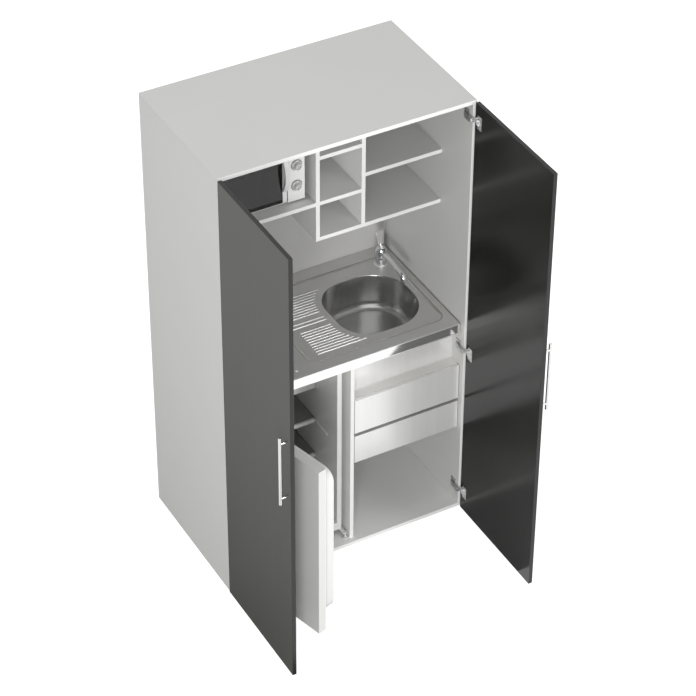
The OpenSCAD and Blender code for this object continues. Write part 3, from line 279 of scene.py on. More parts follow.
def brushed_steel(name, colour, rough, along=(4.0, 700.0, 700.0), relief=0.00004, mottle=0.05,
                  metal=1.0):
    """Brushed metal: along gives the grain's fineness on each axis, so it is drawn along
    the axis with the lowest number."""
    made = Finish(name, colour, rough, metal)
    grain = made.noise(1.0, 3.0, made.stretched(*along), 0.65)
    cloud = made.noise(7.0, 2.0)
    made.clouded(colour, grain * 0.6 + cloud * 0.4, 1 - mottle, 1 + mottle)
    made.set("Roughness", rough - 0.04 + grain * 0.08 + cloud * 0.02)
    made.bumped(grain, 0.25, relief)
    return made.material


def pearl_front(name, colour):
    """Pearl lacquer of the drawer fronts, with faint upright streaks."""
    made = Finish(name, colour, 0.22, 0.34)
    streak = made.noise(1.0, 2.0, made.stretched(46.0, 1.0, 0.8))
    made.clouded(colour, streak, 0.95, 1.04)
    made.set("Roughness", 0.17 + streak * 0.1)
    made.bumped(made.noise(900.0, 1.0), 0.08, 0.00003)
    return made.material


def bright_plate(name, colour=(0.82, 0.83, 0.84), rough=0.06):
    """Chrome plate with the faint unevenness of its polish."""
    made = Finish(name, colour, rough, 1.0)
    haze = made.noise(60.0, 2.0)
    made.clouded(colour, haze, 0.97, 1.02)
    made.set("Roughness", rough * 0.7 + haze * rough * 0.6)
    return made.material


def moulded(name, colour, rough, grain=0.0, scale=1500.0, **plain):
    """Moulded plastic: a slight cloudiness and, where it has one, a spark-eroded grain."""
    made = Finish(name, colour, rough, **plain)
    cloud = made.noise(18.0, 2.0)
    made.clouded(colour, cloud, 0.97, 1.02)
    fine = made.noise(scale, 2.0)
    made.set("Roughness", rough - 0.02 + fine * 0.05)
    if grain:
        made.bumped(fine, 0.3, grain)
    return made.material


def enamelled(name, colour, rough=0.22):
    """Stoved enamel on steel: gloss with a slow orange peel."""
    made = Finish(name, colour, rough, Coat_Weight=0.3, Coat_Roughness=0.08)
    peel = made.noise(260.0, 2.0)
    cloud = made.noise(4.0, 2.0)
    made.clouded(colour, cloud, 0.98, 1.01)
    made.set("Roughness", rough - 0.02 + peel * 0.04)
    made.bumped(peel, 0.15, 0.00006)
    return made.material


def turned_iron(name, centres):
    """Two cast iron plates, each turned in fine rings about its own middle (x, y)."""
    made = Finish(name, (0.045, 0.045, 0.047), 0.62, 0.35)
    x, y, z = made.place().parts()
    first, second = [((x - cx) * (x - cx) + (y - cy) * (y - cy)) ** 0.5 for cx, cy in centres]
    radius = first.least(second)
    wave = 2600.0  # radians per metre, so a ring every 2.4 mm
    rings = (radius * wave).math("SINE")
    speck = made.noise(500.0, 3.0)
    made.set("Base Color", made.mixed(speck, (0.03, 0.03, 0.032), (0.07, 0.07, 0.072)))
    made.set("Roughness", 0.5 + speck * 0.2)
    made.bumped(rings * 0.6 + speck * 0.4, 0.5, 0.00012)
    return made.material


def clear_sheet(name, colour, alpha, rough=0.05):
    """Clear glass or plastic with a slight haze."""
    made = Finish(name, colour, rough, Alpha=alpha, Specular_IOR_Level=0.6)
    haze = made.noise(30.0, 2.0)
    made.clouded(colour, haze, 0.96, 1.03)
    made.set("Roughness", rough * 0.8 + haze * rough * 0.4)
    return made.material


PALE = (0.60, 0.60, 0.585)
WHITE = (0.80, 0.80, 0.79)
BAND = (0.87, 0.87, 0.86)
GRAPHITE = (0.048, 0.050, 0.043)
# painted shade: colour of the doors' inner faces, far darker than the graphite outer faces of the
# same boards
DOOR_INNER_PAINTED_SHADE = (0.006, 0.006, 0.0055)
BLACK_EDGE = (0.006, 0.006, 0.006)


def lows(node):
    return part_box(node)[0]


FRONT = lows("top_panel").y
SHELF_FRONT = lows("bottom_shelf").y
INNER_FRONT = lows("centre_divider").y

outer_board = faced_board("pale_grey_board", PALE, BAND, [(1, FRONT)])
inner_board = faced_board("white_board", WHITE, BAND,
                          [(1, FRONT), (1, SHELF_FRONT), (1, INNER_FRONT)])
# painted shade: the back board is darker than the white inner boards, partly its own off-white and
# partly painted shade of the deep recess
back_board_shade_tone = faced_board("white_back_board", (0.60, 0.597, 0.593))
chipboard = moulded("raw_chipboard", (0.45, 0.33, 0.2), 0.9, 0.0004, 300.0)
sheet_steel = brushed_steel("brushed_sheet_steel", (0.68, 0.675, 0.665), 0.42,
                            relief=0.00002, mottle=0.03, metal=0.72)
bowl_steel = brushed_steel("satin_bowl_steel", (0.56, 0.56, 0.55), 0.24,
                           (150.0, 150.0, 3.0), 0.00002)
# painted shade: the dark steel of the groove round the drainer field stands in for shade in the
# crease
groove_shade_steel = brushed_steel("shaded_groove_steel", (0.22, 0.22, 0.215), 0.4)
# painted highlight: the pressed ribs are a lighter, more metallic copy of the sheet's steel, for
# their glint
rib_highlight_steel = brushed_steel("burnished_rib_steel", (0.70, 0.695, 0.685), 0.38, metal=0.85)
# painted highlight: the hem under the front edge is far lighter than the sheet it is folded from
hem_highlight_steel = brushed_steel("burnished_hem_steel", (0.82, 0.815, 0.805), 0.36, metal=0.85)
slope_steel = brushed_steel("rolled_slope_steel", (0.66, 0.66, 0.65), 0.20)
polished_edge = bright_plate("polished_sheet_edge", (0.80, 0.80, 0.79), 0.10)
plated = bright_plate("chrome_plate")
zinc = brushed_steel("zinc_plated_steel", (0.78, 0.78, 0.78), 0.34, (60.0, 60.0, 60.0), 0.00001)
dark_zinc = brushed_steel("dull_zinc", (0.52, 0.52, 0.53), 0.40, (60.0, 60.0, 60.0), 0.00001)
handle_steel = brushed_steel("handle_steel", (0.66, 0.66, 0.65), 0.24,
                             (500.0, 500.0, 6.0), 0.00002)
black_moulding = moulded("black_moulding", (0.022, 0.022, 0.023), 0.35, 0.00005)
white_moulding = moulded("white_moulding", (0.80, 0.80, 0.79), 0.30)
grey_moulding = moulded("grey_moulding", (0.50, 0.50, 0.50), 0.42, 0.00005)
knob_moulding = moulded("pearl_knob_moulding", (0.60, 0.60, 0.59), 0.30)
fridge_skin = enamelled("white_enamel", (0.69, 0.69, 0.68))
liner_moulding = moulded("white_liner_moulding", (0.79, 0.79, 0.785), 0.22)
frosted = clear_sheet("clear_moulding", (0.88, 0.89, 0.89), 0.36, 0.12)
coated_steel = enamelled("coated_steel", (0.66, 0.66, 0.65), 0.35)
freezer_sheet = brushed_steel("anodised_sheet", (0.80, 0.82, 0.84), 0.38, (3.0, 300.0, 300.0))


# ---- pieces ----

def placed(name, data):
    """A new object in the scene."""
    made = bpy.data.objects.new(name, data)
    bpy.context.scene.collection.objects.link(made)
    return made


def as_mesh(bm, name, *finishes):
    """The mesh of a finished bmesh, which is then freed."""
    made = bpy.data.meshes.new(name)
    bm.to_mesh(made)
    bm.free()
    for finish in finishes:
        made.materials.append(finish)
    return made


def add(name, mesh, body, *finishes, slot=None, stands_for=()):
    """A finished mesh as a piece that rides on one body."""
    made = placed(name, mesh)
    if finishes:
        mesh.materials.clear()
        for finish in finishes:
            mesh.materials.append(finish)
    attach(made, body)
    if stands_for:
        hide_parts(*stands_for)


def creased(bm, angle=SMOOTH):
    """Smooth faces, kept apart where the surface turns by more than the angle and
    where a broad flat face meets a narrow one, so that the flat one stays flat."""
    for face in bm.faces:
        face.smooth = True
    for edge in bm.edges:
        edge.smooth = False
        if len(edge.link_faces) == 2:
            turn = edge.calc_face_angle(0.0)
            areas = sorted(face.calc_area() for face in edge.link_faces)
            broad = areas[1] > BROAD_SHARE * areas[0] and areas[1] > BROAD_AREA
            edge.smooth = turn < math.radians(FLAT_SMOOTH if broad else angle)


def mesh_from(bm, name, *finishes):
    """The mesh of a finished bmesh, smooth but for its creases."""
    creased(bm)
    return as_mesh(bm, name, *finishes)


def settled(made, angle):
    """The evaluated mesh of an object with modifiers, which is then removed."""
    depsgraph = bpy.context.evaluated_depsgraph_get()
    plain = bpy.data.meshes.new_from_object(made.evaluated_get(depsgraph))
    bpy.data.objects.remove(made)
    bm = bmesh.new()
    bm.from_mesh(plain)
    creased(bm, angle)
    bm.to_mesh(plain)
    bm.free()
    return plain


def merged_copy(node):
    """A node's form with its points joined and its flat faces in one piece each."""
    bm = bmesh.new()
    bm.from_mesh(nodes[node].data)
    bmesh.ops.remove_doubles(bm, verts=bm.verts, dist=1e-5)
    bmesh.ops.dissolve_limit(bm, angle_limit=math.radians(0.6), verts=bm.verts, edges=bm.edges)
    return bm


def softened(node, width, *finishes, segments=2, slot=None, rim=None):
    """A node's own form with its sharp edges broken, standing for the node; with a
    rim axis, the faces across that axis take the first finish and the rest the second."""
    made = placed("work", as_mesh(merged_copy(node), "work"))
    bevel = made.modifiers.new("edges", "BEVEL")
    bevel.width = width
    bevel.segments = segments
    bevel.limit_method = "ANGLE"
    bevel.angle_limit = math.radians(BEVELLED)
    bevel.use_clamp_overlap = True
    result = settled(made, BEVEL_SMOOTH)
    if rim is not None:
        for face in result.polygons:
            face.material_index = 0 if abs(face.normal[rim]) > SQUARE_ON else 1
    add(node + "_finished", result, nodes[node]["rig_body"], *finishes, slot=slot,
        stands_for=(node,))


def coat(node, finish):
    """A CAD node that keeps its own form takes a finish."""
    slots = nodes[node].data.materials
    if not slots:
        slots.append(finish)
    for index in range(len(slots)):
        slots[index] = finish


class Grower(Graph):
    """A Geometry Nodes tree with named sizes, which becomes a plain mesh."""

    def __init__(self, name):
        super().__init__(bpy.data.node_groups.new(name, "GeometryNodeTree"))
        self.ports = {}
        for way in ("INPUT", "OUTPUT"):
            self.tree.interface.new_socket("Geometry", in_out=way,
                                           socket_type="NodeSocketGeometry")
        self.start = self.tree.nodes.new("NodeGroupInput")
        self.end = self.tree.nodes.new("NodeGroupOutput")

    def size(self, name, value):
        """A named input of the tree and the value that this use gives it."""
        made = self.tree.interface.new_socket(name, in_out="INPUT", socket_type="NodeSocketFloat")
        self.ports[made.identifier] = value
        return Wire(self, self.start.outputs[name])

    def given(self):
        """The mesh that the tree starts from."""
        return Wire(self, self.start.outputs[0])

    def joined(self, *shapes):
        """Several shapes as one, in their order."""
        both = self.tree.nodes.new("GeometryNodeJoinGeometry")
        for shape in reversed(shapes):
            self.tree.links.new(shape.socket, both.inputs[0])
        return Wire(self, both.outputs[0])

    def grown(self, shape, finish, base=None, angle=SMOOTH):
        """Ends the tree in real geometry with its finish and returns the plain mesh."""
        real = self.node("GeometryNodeRealizeInstances", {}, [shape])
        done = self.node("GeometryNodeSetMaterial", {}, {"Geometry": real, "Material": finish})
        self.tree.links.new(done.socket, self.end.inputs[0])
        holder = placed("work", base or bpy.data.meshes.new("work"))
        tree = holder.modifiers.new("grow", "NODES")
        tree.node_group = self.tree
        for port, value in self.ports.items():
            tree[port] = value
        return settled(holder, angle)


def points_mesh(spots):
    """A mesh of loose points from pairs of a place and the direction that it faces."""
    made = bpy.data.meshes.new("places")
    made.from_pydata([place for place, way in spots], [], [])
    held = made.attributes.new("facing", "FLOAT_VECTOR", "POINT")
    held.data.foreach_set("vector", [c for place, way in spots for c in way])
    return made


def repeated(name, form, spots, finish, **sizes):
    """One small form on every spot, its own Z turned to face outward."""
    tree = Grower(name)
    shape = form(tree, **{key: tree.size(key, value) for key, value in sizes.items()})
    toward = tree.node("GeometryNodeInputNamedAttribute", {"data_type": "FLOAT_VECTOR"},
                       {"Name": "facing"})
    turn = tree.node("FunctionNodeAlignRotationToVector", {"axis": "Z"}, {"Vector": toward})
    every = tree.node("GeometryNodeInstanceOnPoints", {}, {
        "Points": tree.given(), "Instance": shape, "Rotation": turn})
    return tree.grown(every, finish, points_mesh(spots))


def stud(tree, radius, height):
    """A low stud that narrows towards its top."""
    return tree.node("GeometryNodeMeshCone", {}, {
        "Vertices": 16, "Radius Top": radius * 0.8, "Radius Bottom": radius, "Depth": height})


def slot_bar(tree, length, breadth, depth):
    """A flat bar across its place."""
    size = tree.node("ShaderNodeCombineXYZ", {}, [breadth, length, depth])
    return tree.node("GeometryNodeMeshCube", {}, {"Size": size})


def cross(tree, length, breadth, depth):
    """Two bars across each other."""
    return tree.joined(slot_bar(tree, breadth, length, depth),
                       slot_bar(tree, length, breadth, depth))


def dial(x, y, radius, count, first, last):
    """Places on an arc about a knob's axis, in degrees clockwise from its top mark."""
    made = []
    for k in range(count):
        a = math.radians(90 - first - (last - first) * k / (count - 1))
        made.append((x + radius * math.cos(a), y + radius * math.sin(a)))
    return made


def joined(*meshes):
    """Several meshes as one, with their finishes."""
    bm = bmesh.new()
    finishes = []
    for mesh in meshes:
        first = len(bm.faces)
        bm.from_mesh(mesh)
        bm.faces.ensure_lookup_table()
        for face in bm.faces[first:]:
            own = mesh.materials[face.material_index] if mesh.materials else None
            if own not in finishes:
                finishes.append(own)
            face.material_index = finishes.index(own)
    return as_mesh(bm, "joined", *finishes)


def ringed(rings, capped=False):
    """A skin over rings of points, each with the same count, outermost or lowest first,
    and capped also over the first and the last ring."""
    bm = bmesh.new()
    rows = [[bm.verts.new(p) for p in ring] for ring in rings]
    count = len(rows[0])
    for one, two in zip(rows, rows[1:]):
        for k in range(count):
            n = (k + 1) % count
            bm.faces.new((one[k], one[n], two[n], two[k]))
    if capped:
        bm.faces.new(list(reversed(rows[0])))
        bm.faces.new(rows[-1])
    return bm


def turned(profile, steps, centre):
    """A turned form whose axis runs forward from its centre: profile is (radius, height) pairs."""
    rings = []
    for radius, height in profile:
        ring = []
        for k in range(steps):
            a = 2 * math.pi * k / steps
            ring.append(Vector((radius * math.cos(a), radius * math.sin(a), height)))
        rings.append(ring)
    bm = ringed(rings, capped=True)
    bmesh.ops.remove_doubles(bm, verts=bm.verts, dist=1e-7)
    forward = Matrix.Rotation(math.pi / 2, 3, "X")
    for vert in bm.verts:
        vert.co = forward @ vert.co + Vector(centre)
    bmesh.ops.recalc_face_normals(bm, faces=bm.faces)
    return bm


def bounded(low, high, radius, segments=3):
    """A block with rounded edges."""
    bm = bmesh.new()
    bmesh.ops.create_cube(bm, size=1.0)
    low, high = Vector(low), Vector(high)
    for vert in bm.verts:
        vert.co = Vector([(low[i] + high[i]) / 2 + vert.co[i] * (high[i] - low[i])
                          for i in range(3)])
    bmesh.ops.bevel(bm, geom=list(bm.edges), offset=radius, segments=segments, profile=0.5,
                    affect="EDGES", clamp_overlap=True)
    return bm


BOARD_EDGE = 0.6 * MM
DOOR_EDGE = 1.2 * MM
HINGES = (0.097, 0.794, 1.845)  # heights of the hinges on each door
PLATE_FACE, ARM_FACE = 0.500, 0.489  # faces of the hinge plates and arms, from the middle
PLATE_SCREWS = (FRONT + 38 * MM, 17 * MM)  # place from front to back, distance above and below
CUP_SCREWS = (FRONT - 40.5 * MM, 22 * MM)
SETTING_SCREW_Y = FRONT + 6 * MM

for board in ("top_panel", "left_side_panel", "right_side_panel"):
    softened(board, BOARD_EDGE, outer_board, slot="carcass_board")
for board in ("floor_panel", "centre_divider", "service_board",
              "shelf_divider_left", "shelf_divider_right", "bottom_shelf", "microwave_shelf",
              "small_shelves"):
    softened(board, BOARD_EDGE, inner_board, slot="white_board")
coat("back_panel", back_board_shade_tone)
coat("worktop_core", chipboard)


def hinge_screws():
    """Cross recesses of the screws in the hinge plates and cups, drawn as dark crosses whose dark
    is painted shade in the recesses, and the setting screws.
    """
    # painted shade: the near-black crosses stand for the shade in the screws' recesses
    dark = moulded("screw_recess", (0.03, 0.03, 0.03), 0.5)
    recess = dict(length=4.6 * MM, breadth=1.0 * MM, depth=0.5 * MM)
    plates, arms = [], []
    for side in (-1, 1):
        way = (-side, 0, 0)
        cup_low, cup_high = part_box("left_hinge_cups" if side < 0 else "right_hinge_cups")
        y, off = PLATE_SCREWS
        for z in HINGES:
            for step in (-off, off):
                plates.append(((side * PLATE_FACE, y, z + step), way))
            arms.append(((side * ARM_FACE, SETTING_SCREW_Y, z), way))
        face = (cup_high.x if side < 0 else cup_low.x) + side * 0.2 * MM
        y, off = CUP_SCREWS
        marks = [((face, y, z + step), way) for z in HINGES for step in (-off, off)]
        add(("left" if side < 0 else "right") + "_cup_screw_recesses",
            repeated("cup_recess", cross, marks, dark, **recess),
            "left_door" if side < 0 else "right_door", slot="hinge_steel")
    add("plate_screw_recesses", repeated("plate_recess", cross, plates, dark, **recess),
        "carcass", slot="hinge_steel")
    add("hinge_setting_screws",
        repeated("setting_screw", stud, arms, zinc, radius=3.4 * MM, height=0.7 * MM),
        "carcass", slot="hinge_steel")


edge_band = moulded("black_edge_band", BLACK_EDGE, 0.5, Specular_IOR_Level=0.12)
for door in ("left_door", "right_door"):
    low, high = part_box(door)
    side = -1.0 if door == "left_door" else 1.0
    leaf = lacquered_front(door + "_face", GRAPHITE, DOOR_INNER_PAINTED_SHADE, BLACK_EDGE,
                           [(1, low.y + DOOR_EDGE, high.y - DOOR_EDGE),
                            (2, low.z + DOOR_EDGE, high.z - DOOR_EDGE)],
                           low.x if side < 0 else high.x, side)
    softened(door, DOOR_EDGE, leaf, edge_band, segments=3, slot="door_board", rim=0)
for handle in ("left_door_handle", "right_door_handle"):
    softened(handle, 0.8 * MM, handle_steel, segments=3)
softened("hinge_arms", 0.4 * MM, dark_zinc)
for cups in ("left_hinge_cups", "right_hinge_cups"):
    softened(cups, 0.25 * MM, zinc)
hinge_screws()

pearl = pearl_front("pearl_lacquer", (0.80, 0.80, 0.795))
for part in ("upper_drawer_front", "lower_drawer_front", "sink_front_panel"):
    softened(part, 0.8 * MM, pearl, slot="white_board")
for part in ("upper_drawer_box", "lower_drawer_box"):
    softened(part, 0.5 * MM, inner_board, slot="white_board")
softened("drawer_runners", 0.3 * MM, coated_steel)


# ---- sheet-steel top ----
TOP_LOW, TOP_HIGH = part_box("worktop")
SHEET_T = 1.5 * MM
EDGE_R = 2.5 * MM  # rounding of the turned-down edge
EDGE_CORNER_R = 2.6 * MM  # its corners, seen from above
EDGE_IN = 1 * MM
FIELD_DEPTH = 4.0 * MM
FIELD_FLOOR = TOP_HIGH.z - FIELD_DEPTH
FIELD = (-0.116, 0.470, TOP_LOW.y + 0.054, TOP_HIGH.y - 0.062)
FIELD_R = 42 * MM
FIELD_SLOPE = 9 * MM
# The groove round the field, in mm: how far outside the field's outline, how far down.
GROOVE = ((0.9, 0.0), (0.5, 0.9), (-0.1, 1.5), (-0.9, 1.6), (-1.5, 1.1))
GROOVE_OUT, GROOVE_IN, GROOVE_END = 1.5 * MM, 1.5 * MM, 1.1 * MM
BOWL_HALF = 173 * MM
BOWL_X, BOWL_Y = 0.270, TOP_LOW.y + 0.280
BOWL_DEPTH = 150 * MM
BOWL_FOOT = 34 * MM
BOWL_TAPER = 7 * MM
BOWL_LIP = 4 * MM  # rounding from the field into the bowl
BOWL_RIM = 6 * MM  # where the field's floor ends, outside the bowl
LEFT_R, RIGHT_R = 125 * MM, 152 * MM
WASTE = Vector((BOWL_X, BOWL_Y - 0.050, FIELD_FLOOR - BOWL_DEPTH))
WASTE_R = 46 * MM
RAYS = 420  # points on each ring of the sheet
SHEET_SMOOTH = 40.0
RIB_SMOOTH = 60.0
RIB_CLEAR = 28 * MM  # from the bowl's edge to within 3 mm of the ribs' ends
RIB_PITCH = 15.5 * MM
HOTPLATES = ((-0.31, -0.131), (-0.31, 0.0655))


def corner_outline(corners, grow, steps=24):
    """A closed outline of four corner arcs: (x, y, radius) in turn from the right rear."""
    made = []
    for quarter, (x, y, radius) in enumerate(corners):
        for k in range(steps + 1):
            a = math.pi / 2 * (quarter + k / steps)
            r = max(radius + grow, 1e-5)
            made.append((x + r * math.cos(a), y + r * math.sin(a)))
    return made


def bowl_corners():
    """The bowl's corner arcs: its right ones are wider than its left ones."""
    def corner(sx, sy, r):
        return (BOWL_X + sx * (BOWL_HALF - r), BOWL_Y + sy * (BOWL_HALF - r), r)
    return [corner(1, 1, RIGHT_R), corner(-1, 1, LEFT_R),
            corner(-1, -1, LEFT_R), corner(1, -1, RIGHT_R)]


def box_corners(x0, x1, y0, y1, r):
    """Four equal corner arcs of a rectangle."""
    return [(x1 - r, y1 - r, r), (x0 + r, y1 - r, r), (x0 + r, y0 + r, r), (x1 - r, y0 + r, r)]


def reach(outline, angles):
    """Where rays from the bowl's middle meet an outline."""
    made = []
    turn = 2 * math.pi
    flat = [(math.atan2(y - BOWL_Y, x - BOWL_X) % turn, x, y) for x, y in outline]
    flat.sort()
    first, last = flat[0], flat[-1]
    flat = [(last[0] - turn, *last[1:])] + flat + [(first[0] + turn, *first[1:])]
    here = 0
    for angle in angles:
        while flat[here + 1][0] < angle:
            here += 1
        _, ax, ay = flat[here]
        _, bx, by = flat[here + 1]
        dx, dy = math.cos(angle), math.sin(angle)
        ex, ey = bx - ax, by - ay
        under = dx * ey - dy * ex
        along = ((ax - BOWL_X) * ey - (ay - BOWL_Y) * ex) / under if abs(under) > 1e-12 else 0.0
        made.append((BOWL_X + dx * along, BOWL_Y + dy * along))
    return made


def sheet_rings(angles):
    """Rings of the sheet from its turned-down edge to the waste, and the places in that
    row where the groove, the slope and the bowl begin."""
    def ring(corners, grow, z):
        return [(x, y, z) for x, y in reach(corner_outline(corners, grow), angles)]

    edge = box_corners(TOP_LOW.x, TOP_HIGH.x, TOP_LOW.y, TOP_HIGH.y, EDGE_CORNER_R)
    field = box_corners(*FIELD, FIELD_R)
    bowl = bowl_corners()
    top = TOP_HIGH.z
    rings = [ring(edge, 0, TOP_LOW.z), ring(edge, 0, top - EDGE_R)]
    for k in range(1, 5):
        a = math.pi / 2 * k / 4
        rings.append(ring(edge, -EDGE_R * (1 - math.cos(a)), top - EDGE_R * (1 - math.sin(a))))
    rings.append(ring(field, GROOVE_OUT, top))
    groove = len(rings)
    for grow, drop in GROOVE:
        rings.append(ring(field, grow * MM, top - drop * MM))
    slope = len(rings)
    for k in range(1, 8):
        t = k / 7
        rings.append(ring(field, -GROOVE_IN - (FIELD_SLOPE - GROOVE_IN) * t,
                          top - GROOVE_END - (FIELD_DEPTH - GROOVE_END) * t * t * (3 - 2 * t)))
    rings.append(ring(bowl, BOWL_RIM, FIELD_FLOOR))
    lip = len(rings)
    for k in range(7):
        a = math.pi / 2 * k / 6
        rings.append(ring(bowl, BOWL_LIP * (1 - math.sin(a)),
                          FIELD_FLOOR - BOWL_LIP * (1 - math.cos(a))))
    wall = BOWL_DEPTH - BOWL_FOOT
    for k in range(1, 6):
        depth = BOWL_LIP + (wall - BOWL_LIP) * k / 5
        rings.append(ring(bowl, -BOWL_TAPER * depth / wall, FIELD_FLOOR - depth))
    for k in range(1, 11):
        a = math.pi / 2 * k / 10
        rings.append(ring(bowl, -BOWL_TAPER - BOWL_FOOT * (1 - math.cos(a)),
                          FIELD_FLOOR - wall - BOWL_FOOT * math.sin(a)))
    foot = rings[-1]
    for k in range(1, 7):
        t = k / 6
        row = []
        for (x, y, z), angle in zip(foot, angles):
            wx = WASTE.x + WASTE_R * math.cos(angle)
            wy = WASTE.y + WASTE_R * math.sin(angle)
            row.append((x + (wx - x) * t, y + (wy - y) * t, z))
        rings.append(row)
    return rings, groove, slope, lip


def sink_top():
    """One pressed sheet: turned-down edge, flat rim, field with sloped sides, and the bowl."""
    angles = [2 * math.pi * k / RAYS for k in range(RAYS)]
    for x in (TOP_LOW.x + EDGE_IN, TOP_HIGH.x - EDGE_IN):
        for y in (TOP_LOW.y + EDGE_IN, TOP_HIGH.y - EDGE_IN):
            angles.append(math.atan2(y - BOWL_Y, x - BOWL_X) % (2 * math.pi))
    angles.sort()
    rings, groove, slope, lip = sheet_rings(angles)
    finishes = (sheet_steel, polished_edge, groove_shade_steel, bowl_steel, slope_steel)
    bm = ringed(rings)
    bm.faces.ensure_lookup_table()
    count = len(angles)
    for place, face in enumerate(bm.faces):
        row = place // count
        finish = sheet_steel
        if row == 0 and face.calc_center_median().y < TOP_LOW.y + 0.2 * MM:
            finish = polished_edge
        # the groove's rows take the dark steel: painted shade in the crease
        elif groove <= row < slope - 1:
            finish = groove_shade_steel
        elif slope - 1 <= row < lip - 2:
            finish = slope_steel
        elif row > lip:
            finish = bowl_steel
        face.material_index = finishes.index(finish)
    made = placed("work", as_mesh(bm, "work", *finishes))
    sheet = made.modifiers.new("sheet", "SOLIDIFY")
    sheet.thickness = SHEET_T - 0.1 * MM
    sheet.offset = -1.0
    add("sheet_steel_top", settled(made, SHEET_SMOOTH), "carcass", slot="stainless",
        stands_for=("worktop", "sink_bowl"))
    hem_out, hem_in, hem_up = 1.0 * MM, 2 * MM, 3.2 * MM
    hem = bounded((TOP_LOW.x + EDGE_IN, TOP_LOW.y - hem_out, TOP_LOW.z),
                  (TOP_HIGH.x - EDGE_IN, TOP_LOW.y + hem_in, TOP_LOW.z + hem_up), 1.2 * MM, 4)
    add("sheet_steel_hem", mesh_from(hem, "hem"), "carcass", hem_highlight_steel, slot="stainless")


def rib_end(y):
    """Where a rib nears its end, at an even distance from the bowl's left side."""
    radius = LEFT_R + RIB_CLEAR
    off = max(abs(y - BOWL_Y) - (BOWL_HALF - LEFT_R), 0.0)
    return BOWL_X - BOWL_HALF + LEFT_R - math.sqrt(radius * radius - off * off)


def drainer_ribs():
    """Pressed ribs of the drainer, each a low loaf with rounded ends. The ten at the
    front begin further right, and the two about the bowl's middle are further apart."""
    rows = [(FIELD[0] + 0.055, FIELD[2] + 0.045 + k * RIB_PITCH) for k in range(10)]
    rows += [(FIELD[0] + 0.028, BOWL_Y - 0.006 + k * 1.25 * RIB_PITCH) for k in range(2)]
    rows += [(FIELD[0] + 0.028, BOWL_Y + 0.048 + k * RIB_PITCH) for k in range(9)]
    lines = bpy.data.meshes.new("rib_lines")
    ends = []
    for x, y in rows:
        ends += [(x - 3 * MM, y, FIELD_FLOOR), (rib_end(y) + 3 * MM, y, FIELD_FLOOR)]
    lines.from_pydata(ends, [(2 * k, 2 * k + 1) for k in range(len(rows))], [])
    tree = Grower("pressed_ribs")
    half_width = tree.size("Half width", 3.4 * MM)
    height = tree.size("Height", 1.8 * MM)
    end_length = tree.size("Rounded end", 5.0 * MM)
    curve = tree.node("GeometryNodeMeshToCurve", {}, {"Mesh": tree.given()})
    curve = tree.node("GeometryNodeResampleCurve", {}, {"Curve": curve, "Count": 60})
    along = tree.node("GeometryNodeSplineParameter", output="Length")
    whole = tree.node("GeometryNodeSplineLength", output="Length")
    near = along.least(whole - along) / end_length
    short = 1.0 - near.held()
    swell = (1.0 - short * short).most(0.0004) ** 0.5
    level = tree.node("GeometryNodeSetCurveNormal", {"mode": "Z_UP"}, {"Curve": curve})
    profile = tree.node("GeometryNodeCurvePrimitiveCircle", {}, {"Resolution": 16, "Radius": 1.0})
    squashed = tree.node("ShaderNodeCombineXYZ", {}, [height, half_width, 1.0])
    oval = tree.node("GeometryNodeTransform", {}, {"Geometry": profile, "Scale": squashed})
    loaf = tree.node("GeometryNodeCurveToMesh", {}, {
        "Curve": level, "Profile Curve": oval, "Scale": swell, "Fill Caps": True})
    add("drainer_ribs", tree.grown(loaf, rib_highlight_steel, lines, RIB_SMOOTH), "carcass",
        slot="stainless")


sink_top()
drainer_ribs()
coat("sink_strainer", plated)
coat("waste_trap", grey_moulding)
coat("hotplates", turned_iron("hotplate_iron", HOTPLATES))
coat("hotplate_rims", plated)
coat("hob_switches", black_moulding)
for part in ("front_plate_knob", "rear_plate_knob"):
    softened(part, 0.5 * MM, black_moulding)
coat("hob_lamp", moulded("pale_lamp_lens", (0.78, 0.77, 0.72), 0.12, Coat_Weight=0.5))
flange = brushed_steel("satin_flange", (0.86, 0.86, 0.85), 0.42, (60.0, 60.0, 4.0), metal=0.7)
softened("tap_base_plate", 1.0 * MM, flange, segments=3)
for part in ("tap_body", "tap_spout", "tap_turret"):
    softened(part, 1.0 * MM, plated, segments=3)
satin = brushed_steel("satin_lever", (0.74, 0.74, 0.73), 0.30, (60.0, 60.0, 4.0), metal=0.9)
softened("tap_lever", 0.6 * MM, satin)


